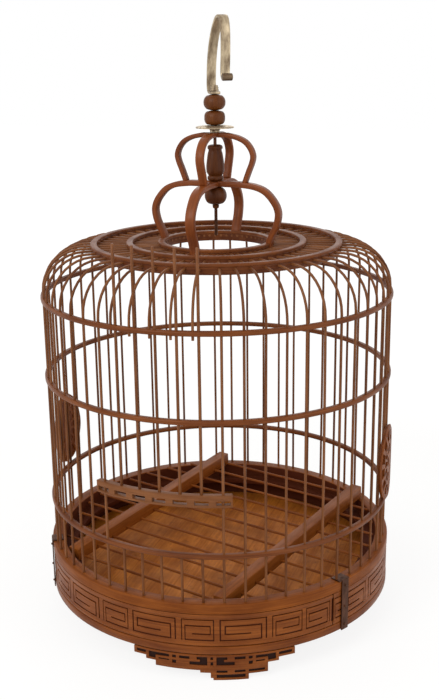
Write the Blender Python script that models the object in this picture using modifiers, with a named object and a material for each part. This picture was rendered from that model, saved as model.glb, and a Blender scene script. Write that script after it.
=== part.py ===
"""Round bamboo bird cage: a domed wall of split bamboo bars threaded through hoops, on a drawer base.

All sizes are in metres and +Z is up. The cage stands on the plane z = 0 and its axis is the Z axis.
The lift door faces -Y. Azimuths are in degrees, measured from -Y towards +X.
"""
import math

import bmesh
import bpy
from mathutils import Matrix, Vector

# Gaps and cuts
CLEARANCE = 0.0003
RUNNING_CLEARANCE = 0.0005
CUT_OVERRUN = 0.003

# Wall of bars
BAR_COUNT = 56
DOOR_BAR_COUNT = 5
BARS_PER_GROUP = 4
BAR_CIRCLE_RADIUS = 0.163
BAR_DIAMETER = 0.0027
BAR_SOCKET_DEPTH = 0.005
SHOULDER_RISE = 0.246
SHOULDER_BEND_RADIUS = 0.038
SHOULDER_BEND_STEPS = 5
BAR_INNER_END_RADIUS = 0.051
CLAMP_WIDTH = 0.0065
CLAMP_HEIGHT = 0.0032
CLAMP_RISE = 0.0008
CLAMP_MARGIN_SHARE = 0.65
SHORT_BAR_TAIL = 0.0035
SHORT_BAR_OFFSET = 0.0048

# Hoops round the wall, with their heights above the sill
HOOP_HEIGHT = 0.0045
HOOP_WIDTH = 0.0056
HOOP_LOW_RISE = 0.044
HOOP_MID_RISE = 0.165
HOOP_SHOULDER_RISE = 0.241

# Rings on the flat top
TOP_RING_HEIGHT = 0.003
TOP_RING_WIDTH = 0.007
TOP_RING_OUTER_INSET = 0.006
TOP_RING_MIDDLE_RADIUS = 0.083
TOP_RING_INNER_RADIUS = 0.054

# Base
SILL_OVERHANG = 0.0045
FOOT_HEIGHT = 0.025
BASE_HOOP_HEIGHT = 0.008
BASE_HOOP_WIDTH = 0.0215
WALL_HEIGHT = 0.0315
WALL_THICKNESS = 0.0075
WALL_SETBACK = 0.0005
SILL_HEIGHT = 0.0095
SILL_INSIDE_WIDTH = 0.0075
SILL_WEB_DEPTH = 0.0095
SILL_LIP_HEIGHT = 0.0048
SILL_LIP_WIDTH = 0.0115
NEST_GAP = 0.0012
OPENING_HALF_ANGLE = 55.4
DRAWER_FRONT_HALF_ANGLE = 55.0

# Metal bands over the ends of the base wall
BAND_AZIMUTH = 57.8
BAND_WIDTH = 0.0122
BAND_THICKNESS = 0.001
BAND_FLANGE = 0.0036
BAND_STEPS = 2

# Tray drawer
TRAY_THICKNESS = 0.0045
TRAY_BACK_GAP = 0.001
TRAY_SIDE_GAP = 0.0008
RUNNER_HEIGHT = 0.0065

# Fretwork feet. In a pattern, # is wood and . is pierced or cut away
FOOT_AZIMUTHS = (15.75, 135.75, -104.25)
FOOT_THICKNESS = 0.006
FOOT_SETBACK = 0.0005
FOOT_COLUMN_DEGREES = (1.0, 3.1, 1.0, 2.2, 1.0, 3.4, 1.0, 1.2, 1.0, 2.2, 1.0, 2.2, 1.0, 2.2, 1.0, 0.8,
                       1.0, 2.3, 1.0, 2.2, 1.0, 2.3, 1.0, 1.2, 1.0, 2.8, 1.0, 2.5, 1.0, 4.3, 1.0)
FOOT_ROW_SHARES = (0.081, 0.112, 0.085, 0.058, 0.077, 0.199, 0.096, 0.073, 0.134, 0.085)
FOOT_PATTERN = (
    "###############################",
    "#.#...#.#..#..#.#..#..#.#...#.#",
    "###.#########.###.#########.###",
    "..#.#.#.###...#.#...###.#.#.#..",
    "..#####.###...#.#...###.#####..",
    "....#######################....",
    ".............####..#..#...#....",
    "...............############....",
    "...............##.....#........",
    "................#######........",
)

# Lift door
DOOR_BAR_DIAMETER = 0.0029
DOOR_BAR_LENGTH = 0.210
DOOR_SOCKET_DEPTH = 0.0035
DOOR_RAISE = 0.0435
RAIL_HEIGHT = 0.011
RAIL_WIDTH = 0.006
RAIL_HALF_ANGLE = 22.0
RAIL_SLOT_COUNT = 7
RAIL_SLOT_PITCH = 5.3
RAIL_SLOT_WIDTH = 0.009
RAIL_SLOT_HEIGHT = 0.004
RAIL_SLOT_RISE = 0.002

# Floor rack, which lies tilted: its near ends on the sill's lip, its far ends on the sill
RACK_HEADING = 72.9
RACK_BEARER_OFFSET_SHARE = 0.55
RACK_BEARER_WIDTH = 0.012
RACK_BEARER_HEIGHT = 0.013
RACK_ROD_COUNT = 12
RACK_ROD_DIAMETER = 0.0025
RACK_ROD_RISE = 0.0035
RACK_ROD_INSET = 0.006
RACK_ROD_GAP = 0.0018
RACK_END_GAP = 0.0012

# Crown of bent strips. Points are radius and height on the strip's middle, as shares of the two sizes
CROWN_TURN = -3.5
CROWN_STRIP_WIDTH = 0.0088
CROWN_STRIP_THICKNESS = 0.0052
CROWN_LOW_TOP_RISE = 0.0593
CROWN_LOW_RADIUS = 0.0616
CROWN_LOW_SHARES = ((0.885, 0.0), (0.942, 0.14), (0.980, 0.28), (1.0, 0.45), (0.985, 0.58), (0.925, 0.72),
                    (0.80, 0.88), (0.63, 0.965), (0.40, 1.0))
CROWN_HIGH_STRIP_WIDTH = 0.0078
CROWN_HIGH_STRIP_THICKNESS = 0.0042
CROWN_HIGH_RISE = 0.0441
CROWN_HIGH_RADIUS = 0.0371
CROWN_HIGH_SHARES = ((0.795, 0.0), (0.887, 0.225), (0.973, 0.42), (1.0, 0.57), (0.933, 0.73), (0.795, 0.865),
                     (0.58, 0.955), (0.32, 1.0))

# Rod, beads and dish on the axis
ROD_DIAMETER = 0.003
ROD_TAIL = 0.0085
COLLAR_HEIGHT = 0.0034
COLLAR_RADIUS = 0.0032
SPINDLE_HEIGHT = 0.0327
SPINDLE_RADIUS = 0.0084
LOWER_BEAD_HEIGHT = 0.016
LOWER_BEAD_RADIUS = 0.0103
MIDDLE_BEAD_HEIGHT = 0.013
MIDDLE_BEAD_RADIUS = 0.0095
TOP_BEAD_HEIGHT = 0.0138
TOP_BEAD_RADIUS = 0.0100
DISH_RADIUS = 0.0175
DISH_RIM_THICKNESS = 0.0014
DISH_HEIGHT = 0.0058
DISH_NECK_RADIUS = 0.0045
NUT_HEIGHT = 0.0052
NUT_RADIUS = 0.0042

# Hook: a strip on the rod under the nut. Points are reach and height on its middle, as shares of the two sizes
HOOK_AZIMUTH = 35.0
HOOK_REACH = 0.035
HOOK_HEIGHT = 0.0657
HOOK_WIDTH = 0.0085
HOOK_THICKNESS = 0.0026
HOOK_ROLL_RADIUS = 0.0032
HOOK_SHARES = ((0.15, 0.0), (-0.10, 0.0), (-0.205, 0.012), (-0.262, 0.065), (-0.262, 0.18), (-0.217, 0.365),
               (-0.13, 0.53), (0.017, 0.70), (0.243, 0.855), (0.48, 0.965), (0.71, 1.0), (0.90, 0.955),
               (0.985, 0.82), (1.0, 0.67), (0.985, 0.49), (0.95, 0.335), (0.95, 0.25), (1.01, 0.208),
               (1.11, 0.222))

# Carved oval plaques on both sides. Their pattern runs round the oval, from the rim inwards
PLAQUE_AZIMUTHS = {"side_plaque_left": -90.0, "side_plaque_right": 90.0}
PLAQUE_WIDTH = 0.057
PLAQUE_HEIGHT = 0.074
PLAQUE_THICKNESS = 0.004
PLAQUE_RISE = 0.047
PLAQUE_RING_SHARES = (1.0, 0.86, 0.62, 0.50, 0.28, 0.14)
PLAQUE_PATTERN = (
    "########################",
    "#..#..#..#..#..#..#..#..",
    "########################",
    ".#..#..#..#..#..#..#..#.",
    "########################",
)

# How finely round shapes are cut
BAR_SIDES_RESOLUTION = 1
RING_STEPS = BAR_COUNT
TURNED_STEPS = 16
ARC_STEP_DEGREES = 7.0
MERGE_DISTANCE = 0.00001
ROD_HOLE_SIDES = 12

# Heights and radii that follow
BASE_RADIUS = BAR_CIRCLE_RADIUS + SILL_OVERHANG
BASE_HOOP_INNER_RADIUS = BASE_RADIUS - BASE_HOOP_WIDTH
SILL_INNER_RADIUS = BAR_CIRCLE_RADIUS - SILL_INSIDE_WIDTH
FOOT_OUTER_RADIUS = BASE_RADIUS - FOOT_SETBACK
RACK_BEARER_OFFSET = SILL_INNER_RADIUS * RACK_BEARER_OFFSET_SHARE
BASE_BOTTOM = FOOT_HEIGHT
WALL_BOTTOM = BASE_BOTTOM + BASE_HOOP_HEIGHT
SILL_BOTTOM = WALL_BOTTOM + WALL_HEIGHT
SILL_TOP = SILL_BOTTOM + SILL_HEIGHT
HOOP_LOW_Z = SILL_TOP + HOOP_LOW_RISE
HOOP_MID_Z = SILL_TOP + HOOP_MID_RISE
HOOP_SHOULDER_Z = SILL_TOP + HOOP_SHOULDER_RISE
BEND_START_Z = SILL_TOP + SHOULDER_RISE
BAR_TOP_Z = BEND_START_Z + SHOULDER_BEND_RADIUS
BEND_CENTRE_RADIUS = BAR_CIRCLE_RADIUS - SHOULDER_BEND_RADIUS
BAR_PITCH = 360.0 / BAR_COUNT
TOP_RING_Z = BAR_TOP_Z + BAR_DIAMETER / 2 + CLEARANCE
WALL_OUTER_RADIUS = BASE_RADIUS - WALL_SETBACK
WALL_INNER_RADIUS = WALL_OUTER_RADIUS - WALL_THICKNESS
TRAY_BACK_RADIUS = WALL_INNER_RADIUS - TRAY_BACK_GAP
TRAY_HALF_WIDTH = WALL_INNER_RADIUS * math.sin(math.radians(OPENING_HALF_ANGLE)) - TRAY_SIDE_GAP
TOP_RING_RADII = {
    "top_ring_outer": BEND_CENTRE_RADIUS - TOP_RING_OUTER_INSET,
    "top_ring_middle": TOP_RING_MIDDLE_RADIUS,
    "top_ring_inner": TOP_RING_INNER_RADIUS,
}
RAIL_BOTTOM = HOOP_LOW_Z + HOOP_HEIGHT / 2 + CLEARANCE + DOOR_RAISE
RAIL_TOP = RAIL_BOTTOM + RAIL_HEIGHT
BORE_RADIUS = ROD_DIAMETER / 2 + CLEARANCE
SECTOR_FIT = math.cos(math.pi / RING_STEPS)


def polar(radius, azimuth, z=0.0):
    """A point at a radius and an azimuth (degrees from -Y towards +X)."""
    angle = math.radians(azimuth)
    return Vector((radius * math.sin(angle), -radius * math.cos(angle), z))


def radial_frame(azimuth):
    """Turns X to the tangent, Y inwards and leaves Z, for a piece placed at an azimuth."""
    return Matrix.Rotation(math.radians(azimuth), 4, "Z")


def make_material(name, colour, roughness, metallic=0.0):
    material = bpy.data.materials.new(name)
    material.use_nodes = True
    shader = material.node_tree.nodes["Principled BSDF"]
    shader.inputs["Base Color"].default_value = (*colour, 1.0)
    shader.inputs["Roughness"].default_value = roughness
    shader.inputs["Metallic"].default_value = metallic
    return material


def finish_object(obj, material, collection):
    """Gives an object its material and its one collection."""
    for other in list(obj.users_collection):
        other.objects.unlink(obj)
    collection.objects.link(obj)
    if material is not None:
        obj.data.materials.clear()
        obj.data.materials.append(material)
    return obj


def hide_helper(obj, collection):
    """Marks a cutter or a joined-in shape, which is not a piece of its own."""
    finish_object(obj, None, collection)
    obj.hide_render = True
    obj.display_type = "WIRE"
    return obj


def object_from_bmesh(name, bm):
    bmesh.ops.recalc_face_normals(bm, faces=bm.faces[:])
    mesh = bpy.data.meshes.new(name)
    bm.to_mesh(mesh)
    bm.free()
    obj = bpy.data.objects.new(name, mesh)
    bpy.context.scene.collection.objects.link(obj)
    return obj


def shade(obj):
    obj.data.shade_smooth()
    obj.data.set_sharp_from_angle(angle=math.radians(35.0))


def turned(name, profile, steps, turn=0.0):
    """A ring or bead: a closed outline of radius and height, turned about Z by a Screw modifier.
    The outline runs down its outer side."""
    mesh = bpy.data.meshes.new(name)
    points = [(radius, 0.0, z) for radius, z in profile]
    edges = [(i, (i + 1) % len(points)) for i in range(len(points))]
    mesh.from_pydata(points, edges, [])
    obj = bpy.data.objects.new(name, mesh)
    bpy.context.scene.collection.objects.link(obj)
    obj.rotation_euler.z = math.radians(turn)
    screw = obj.modifiers.new("turn", "SCREW")
    screw.axis = "Z"
    screw.angle = math.radians(360.0)
    screw.steps = steps
    screw.render_steps = steps
    screw.use_merge_vertices = True
    screw.merge_threshold = MERGE_DISTANCE
    screw.use_smooth_shade = True
    return obj


def add_arc(bm, inner, outer, bottom, top, start, end):
    """Adds a block bent round the Z axis to a bmesh: a rectangle spun from one azimuth to another."""
    corners = [(inner, bottom), (outer, bottom), (outer, top), (inner, top)]
    verts = [bm.verts.new(polar(radius, start, z)) for radius, z in corners]
    face = bm.faces.new(verts)
    steps = max(1, math.ceil((end - start) / ARC_STEP_DEGREES))
    bmesh.ops.spin(bm, geom=[face, *face.edges, *verts], cent=(0, 0, 0), axis=(0, 0, 1), dvec=(0, 0, 0),
                   angle=math.radians(end - start), steps=steps, use_duplicate=False)


def arc_blocks(name, blocks):
    """One object from bent blocks: each is inner and outer radius, bottom, top, start and end azimuth."""
    bm = bmesh.new()
    for block in blocks:
        add_arc(bm, *block)
    return object_from_bmesh(name, bm)


def add_box(bm, size, matrix):
    made = bmesh.ops.create_cube(bm, size=1.0)
    bmesh.ops.scale(bm, vec=size, verts=made["verts"])
    bmesh.ops.transform(bm, matrix=matrix, verts=made["verts"])


def tube_mesh(name, paths, diameter):
    """One mesh of round tubes, each along its own list of points, with welded caps."""
    curve = bpy.data.curves.new(name, "CURVE")
    curve.dimensions = "3D"
    curve.bevel_depth = diameter / 2
    curve.bevel_resolution = BAR_SIDES_RESOLUTION
    curve.use_fill_caps = True
    for path in paths:
        spline = curve.splines.new("POLY")
        spline.points.add(len(path) - 1)
        for point, place in zip(spline.points, path):
            point.co = (*place, 1.0)
    source = bpy.data.objects.new(name + "_curve", curve)
    bpy.context.scene.collection.objects.link(source)
    evaluated = source.evaluated_get(bpy.context.evaluated_depsgraph_get())
    mesh = bpy.data.meshes.new_from_object(evaluated)
    bpy.data.objects.remove(source)
    bm = bmesh.new()
    bm.from_mesh(mesh)
    bmesh.ops.remove_doubles(bm, verts=bm.verts[:], dist=MERGE_DISTANCE)
    bpy.data.meshes.remove(mesh)
    return object_from_bmesh(name, bm)


def strip(name, path, width, thickness):
    """A flat strip bent in the plane of X and Z: the outline at both sides of a path, given a width."""
    sides = ([], [])
    for i, point in enumerate(path):
        before = path[max(i - 1, 0)]
        after = path[min(i + 1, len(path) - 1)]
        run = Vector((after[0] - before[0], after[1] - before[1])).normalized()
        for side, sign in zip(sides, (1.0, -1.0)):
            side.append((point[0] - sign * run.y * thickness / 2, point[1] + sign * run.x * thickness / 2))
    outline = sides[0] + sides[1][::-1]
    bm = bmesh.new()
    face = bm.faces.new([bm.verts.new((x, -width / 2, z)) for x, z in outline])
    made = bmesh.ops.extrude_face_region(bm, geom=[face])
    moved = [item for item in made["geom"] if isinstance(item, bmesh.types.BMVert)]
    bmesh.ops.translate(bm, verts=moved, vec=(0.0, width, 0.0))
    bmesh.ops.triangulate(bm, faces=[f for f in bm.faces if len(f.verts) > 4])
    return object_from_bmesh(name, bm)


def boolean(obj, operand, operation):
    modifier = obj.modifiers.new(operation.lower(), "BOOLEAN")
    modifier.operation = operation
    modifier.object = operand
    modifier.solver = "EXACT"


def bar_path(azimuth, start_z):
    """A wall bar: up the wall, round the shoulder and in over the top."""
    points = [polar(BAR_CIRCLE_RADIUS, azimuth, start_z)]
    for i in range(SHOULDER_BEND_STEPS + 1):
        angle = math.radians(90.0) * i / SHOULDER_BEND_STEPS
        radius = BEND_CENTRE_RADIUS + SHOULDER_BEND_RADIUS * math.cos(angle)
        points.append(polar(radius, azimuth, BEND_START_Z + SHOULDER_BEND_RADIUS * math.sin(angle)))
    points.append(polar(BAR_INNER_END_RADIUS, azimuth, BAR_TOP_Z))
    return points


def full_bar_slots():
    """Numbers of the places round the wall that hold a whole bar: all but those of the door."""
    half = DOOR_BAR_COUNT // 2
    return list(range(half + 1, BAR_COUNT - half))


def door_azimuths():
    half = DOOR_BAR_COUNT // 2
    return [k * BAR_PITCH for k in range(-half, half + 1)]


def short_bar_azimuths():
    shift = math.degrees(SHORT_BAR_OFFSET / BAR_CIRCLE_RADIUS)
    return [azimuth - shift for azimuth in door_azimuths()]


def make_bar_group(name, azimuths, start_z, material, parts, helpers):
    """Neighbouring bars, joined where a clamp under the inner top ring binds their ends."""
    bars = hide_helper(tube_mesh(name + "_tubes", [bar_path(a, start_z) for a in azimuths], BAR_DIAMETER), helpers)
    margin = math.degrees(BAR_DIAMETER * CLAMP_MARGIN_SHARE / BAR_INNER_END_RADIUS)
    inner = BAR_INNER_END_RADIUS - CLEARANCE
    top = BAR_TOP_Z + CLAMP_RISE
    clamp = arc_blocks(name, [(inner, inner + CLAMP_WIDTH, top - CLAMP_HEIGHT, top,
                               azimuths[0] - margin, azimuths[-1] + margin)])
    boolean(clamp, bars, "UNION")
    finish_object(clamp, material, parts)


def make_bars(material, parts, helpers):
    slots = full_bar_slots()
    start_z = SILL_TOP - BAR_SOCKET_DEPTH + CLEARANCE
    groups = []
    middle = len(slots) // 2
    spare = len(slots) % BARS_PER_GROUP
    left = slots[:middle - spare // 2]
    centre = slots[len(left):len(left) + spare]
    right = slots[len(left) + spare:]
    for run in (left, centre, right):
        groups += [run[i:i + BARS_PER_GROUP] for i in range(0, len(run), BARS_PER_GROUP)]
    for number, group in enumerate(groups, start=1):
        azimuths = [k * BAR_PITCH for k in group]
        make_bar_group(f"wall_bars_{number:02d}", azimuths, start_z, material, parts, helpers)
    tail = HOOP_SHOULDER_Z - HOOP_HEIGHT / 2 - SHORT_BAR_TAIL
    make_bar_group("bars_over_door", short_bar_azimuths(), tail, material, parts, helpers)


def make_sill_bars(material, parts):
    """The five short bars under the doorway, from the sill up into the low hoop."""
    bottom = SILL_TOP - BAR_SOCKET_DEPTH + CLEARANCE
    top = HOOP_LOW_Z + HOOP_HEIGHT / 2 - CLEARANCE
    for number, azimuth in enumerate(door_azimuths(), start=1):
        path = [polar(BAR_CIRCLE_RADIUS, azimuth, z) for z in (bottom, top)]
        finish_object(tube_mesh(f"doorstep_bar_{number}", [path], BAR_DIAMETER), material, parts)


def hole_cutter(name, azimuths_and_sides, bottom, top, helpers):
    """Square holes for bars, at the bars' circle."""
    bm = bmesh.new()
    for azimuth, side in azimuths_and_sides:
        place = Matrix.Translation(polar(BAR_CIRCLE_RADIUS, azimuth, (bottom + top) / 2)) @ radial_frame(azimuth)
        add_box(bm, (side, side, top - bottom), place)
    return hide_helper(object_from_bmesh(name, bm), helpers)


def rectangle(inner, outer, bottom, top):
    return [(outer, top), (outer, bottom), (inner, bottom), (inner, top)]


def make_hoops(material, parts, helpers):
    bar_hole = BAR_DIAMETER + 2 * CLEARANCE
    door_hole = DOOR_BAR_DIAMETER + 2 * RUNNING_CLEARANCE
    fixed = [(k * BAR_PITCH, bar_hole) for k in full_bar_slots()]
    door = [(azimuth, door_hole) for azimuth in door_azimuths()]
    stubs = [(azimuth, bar_hole) for azimuth in door_azimuths()]
    short = [(azimuth, bar_hole) for azimuth in short_bar_azimuths()]
    plans = (
        ("hoop_low", HOOP_LOW_Z, fixed + stubs),
        ("hoop_mid", HOOP_MID_Z, fixed + door),
        ("hoop_shoulder", HOOP_SHOULDER_Z, fixed + door + short),
    )
    for name, z, holes in plans:
        bottom, top = z - HOOP_HEIGHT / 2, z + HOOP_HEIGHT / 2
        inner = BAR_CIRCLE_RADIUS - HOOP_WIDTH / 2
        hoop = turned(name, rectangle(inner, inner + HOOP_WIDTH, bottom, top), RING_STEPS, BAR_PITCH / 2)
        cutter = hole_cutter(name + "_holes", holes, bottom - CUT_OVERRUN, top + CUT_OVERRUN, helpers)
        boolean(hoop, cutter, "DIFFERENCE")
        finish_object(hoop, material, parts)


def make_top_rings(material, parts):
    half = TOP_RING_WIDTH / 2
    for name, radius in TOP_RING_RADII.items():
        profile = rectangle(radius - half, radius + half, TOP_RING_Z, TOP_RING_Z + TOP_RING_HEIGHT)
        finish_object(turned(name, profile, RING_STEPS, BAR_PITCH / 2), material, parts)


def make_base(material, parts, helpers):
    base = turned("base_hoop", rectangle(BASE_HOOP_INNER_RADIUS, BASE_RADIUS, BASE_BOTTOM, WALL_BOTTOM),
                  RING_STEPS, BAR_PITCH / 2)
    finish_object(base, material, parts)
    wall = arc_blocks("base_wall", [(WALL_INNER_RADIUS, WALL_OUTER_RADIUS, WALL_BOTTOM + CLEARANCE,
                                     SILL_BOTTOM - CLEARANCE, OPENING_HALF_ANGLE, 360.0 - OPENING_HALF_ANGLE)])
    finish_object(wall, material, parts)
    web_outer = WALL_INNER_RADIUS - NEST_GAP
    lip_bottom = SILL_BOTTOM - SILL_WEB_DEPTH
    lip_inner = SILL_INNER_RADIUS - SILL_LIP_WIDTH
    profile = [
        (BASE_RADIUS, SILL_TOP), (BASE_RADIUS, SILL_BOTTOM), (web_outer, SILL_BOTTOM), (web_outer, lip_bottom),
        (lip_inner, lip_bottom), (lip_inner, lip_bottom + SILL_LIP_HEIGHT),
        (SILL_INNER_RADIUS, lip_bottom + SILL_LIP_HEIGHT), (SILL_INNER_RADIUS, SILL_TOP),
    ]
    sill = turned("sill_hoop", profile, RING_STEPS, BAR_PITCH / 2)
    hole = BAR_DIAMETER + 2 * CLEARANCE
    sockets = hole_cutter("sill_sockets", [(k * BAR_PITCH, hole) for k in range(BAR_COUNT)],
                          SILL_TOP - BAR_SOCKET_DEPTH, SILL_TOP + CUT_OVERRUN, helpers)
    boolean(sill, sockets, "DIFFERENCE")
    finish_object(sill, material, parts)


def make_bands(material, parts):
    """Metal bands over the two ends of the base wall: a face outside and a flange over the sill."""
    half = math.degrees(BAND_WIDTH / 2 / BASE_RADIUS)
    inner = BASE_RADIUS + CLEARANCE
    outer = inner + BAND_THICKNESS
    bottom = SILL_TOP + CLEARANCE
    top = bottom + BAND_THICKNESS
    for name, azimuth in (("metal_band_left", -BAND_AZIMUTH), ("metal_band_right", BAND_AZIMUTH)):
        bm = bmesh.new()
        profile = [(outer, BASE_BOTTOM), (outer, top), (outer - BAND_FLANGE, top), (outer - BAND_FLANGE, bottom),
                   (inner, bottom), (inner, BASE_BOTTOM)]
        verts = [bm.verts.new(polar(radius, azimuth - half, z)) for radius, z in profile]
        face = bm.faces.new(verts)
        bmesh.ops.spin(bm, geom=[face, *face.edges, *verts], cent=(0, 0, 0), axis=(0, 0, 1), dvec=(0, 0, 0),
                       angle=math.radians(2 * half), steps=BAND_STEPS, use_duplicate=False)
        finish_object(object_from_bmesh(name, bm), material, parts)


def flat_plate(name, outline, bottom, top):
    bm = bmesh.new()
    face = bm.faces.new([bm.verts.new((x, y, bottom)) for x, y in outline])
    made = bmesh.ops.extrude_face_region(bm, geom=[face])
    moved = [item for item in made["geom"] if isinstance(item, bmesh.types.BMVert)]
    bmesh.ops.translate(bm, verts=moved, vec=(0.0, 0.0, top - bottom))
    return object_from_bmesh(name, bm)


def arc_points(radius, start, end):
    steps = max(1, math.ceil(abs(end - start) / ARC_STEP_DEGREES))
    return [polar(radius, start + (end - start) * i / steps).xy for i in range(steps + 1)]


def make_drawer(material, tray_material, parts):
    front = arc_blocks("drawer_front", [(WALL_INNER_RADIUS, WALL_OUTER_RADIUS, WALL_BOTTOM + RUNNING_CLEARANCE,
                                         SILL_BOTTOM - RUNNING_CLEARANCE,
                                         -DRAWER_FRONT_HALF_ANGLE, DRAWER_FRONT_HALF_ANGLE)])
    finish_object(front, material, parts)
    front_radius = WALL_INNER_RADIUS * math.cos(math.radians(ARC_STEP_DEGREES / 2)) - CLEARANCE
    front_corner = math.degrees(math.asin(TRAY_HALF_WIDTH / front_radius))
    back_corner = 180.0 - math.degrees(math.asin(TRAY_HALF_WIDTH / TRAY_BACK_RADIUS))
    outline = arc_points(front_radius, -front_corner, front_corner)
    outline += arc_points(TRAY_BACK_RADIUS, back_corner, 360.0 - back_corner)
    bottom = WALL_BOTTOM + CLEARANCE
    tray = flat_plate("tray_board", outline, bottom, bottom + TRAY_THICKNESS)
    finish_object(tray, tray_material, parts)


def make_runners(material, parts):
    """Boards beside the tray that guide it, under the ends of the base wall's chord."""
    side = TRAY_HALF_WIDTH + RUNNING_CLEARANCE
    radius = WALL_INNER_RADIUS * math.cos(math.radians(ARC_STEP_DEGREES / 2)) - CLEARANCE
    corner = math.degrees(math.asin(side / radius))
    bottom = WALL_BOTTOM + CLEARANCE
    for name, start, end in (("tray_runner_right", corner, 180.0 - corner),
                             ("tray_runner_left", 180.0 + corner, 360.0 - corner)):
        runner = flat_plate(name, arc_points(radius, start, end), bottom, bottom + RUNNER_HEIGHT)
        finish_object(runner, material, parts)


def fretwork(name, pattern, place, thickness, closed=False):
    """A pierced sheet from a pattern: place gives the corner of a column and row, and a modifier the
    thickness, towards the axis. A closed pattern joins its last column to its first."""
    columns = len(pattern[0])
    bm = bmesh.new()
    corners = {}

    def corner(column, row):
        key = (column % columns if closed else column, row)
        if key not in corners:
            corners[key] = bm.verts.new(place(*key))
        return corners[key]

    for row, line in enumerate(pattern):
        for column, mark in enumerate(line):
            if mark == "#":
                bm.faces.new([corner(column, row), corner(column, row + 1),
                              corner(column + 1, row + 1), corner(column + 1, row)])
    mesh = bpy.data.meshes.new(name)
    bm.to_mesh(mesh)
    bm.free()
    obj = bpy.data.objects.new(name, mesh)
    bpy.context.scene.collection.objects.link(obj)
    solidify = obj.modifiers.new("thickness", "SOLIDIFY")
    solidify.thickness = thickness
    solidify.offset = -1.0
    return obj


def make_feet(material, parts):
    """Pierced fretwork feet under the base: one pattern, placed three times."""
    top = BASE_BOTTOM - CLEARANCE
    half = sum(FOOT_COLUMN_DEGREES) / 2

    def place(column, row):
        azimuth = sum(FOOT_COLUMN_DEGREES[:column]) - half
        return polar(FOOT_OUTER_RADIUS, azimuth, top * (1 - sum(FOOT_ROW_SHARES[:row])))

    for number, azimuth in enumerate(FOOT_AZIMUTHS, start=1):
        foot = fretwork(f"fret_foot_{number}", FOOT_PATTERN, place, FOOT_THICKNESS)
        foot.rotation_euler.z = math.radians(azimuth)
        finish_object(foot, material, parts)


def make_door(material, parts, helpers):
    """The lift door: a pierced rail that slides on the bars beside it, and five bars through the hoops."""
    inner = BAR_CIRCLE_RADIUS - RAIL_WIDTH / 2
    rail = arc_blocks("door_rail", [(inner, inner + RAIL_WIDTH, RAIL_BOTTOM, RAIL_TOP,
                                     -RAIL_HALF_ANGLE, RAIL_HALF_ANGLE)])
    sockets = hole_cutter("door_rail_sockets",
                          [(azimuth, DOOR_BAR_DIAMETER + 2 * CLEARANCE) for azimuth in door_azimuths()],
                          RAIL_TOP - DOOR_SOCKET_DEPTH, RAIL_TOP + CUT_OVERRUN, helpers)
    guide = (DOOR_BAR_COUNT // 2 + 1) * BAR_PITCH
    guides = hole_cutter("door_rail_guides",
                         [(azimuth, BAR_DIAMETER + 2 * RUNNING_CLEARANCE) for azimuth in (-guide, guide)],
                         RAIL_BOTTOM - CUT_OVERRUN, RAIL_TOP + CUT_OVERRUN, helpers)
    half = math.degrees(RAIL_SLOT_WIDTH / 2 / BAR_CIRCLE_RADIUS)
    first = -(RAIL_SLOT_COUNT - 1) / 2 * RAIL_SLOT_PITCH
    slot_bottom = RAIL_BOTTOM + RAIL_SLOT_RISE
    slots = [(inner - CUT_OVERRUN, inner + RAIL_WIDTH + CUT_OVERRUN, slot_bottom, slot_bottom + RAIL_SLOT_HEIGHT,
              first + i * RAIL_SLOT_PITCH - half, first + i * RAIL_SLOT_PITCH + half)
             for i in range(RAIL_SLOT_COUNT)]
    piercing = hide_helper(arc_blocks("door_rail_slots", slots), helpers)
    for cutter in (sockets, guides, piercing):
        boolean(rail, cutter, "DIFFERENCE")
    finish_object(rail, material, parts)
    bottom = RAIL_TOP - DOOR_SOCKET_DEPTH + CLEARANCE
    for number, azimuth in enumerate(door_azimuths(), start=1):
        path = [polar(BAR_CIRCLE_RADIUS, azimuth, z) for z in (bottom, RAIL_TOP + DOOR_BAR_LENGTH)]
        finish_object(tube_mesh(f"door_bar_{number}", [path], DOOR_BAR_DIAMETER), material, parts)


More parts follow.
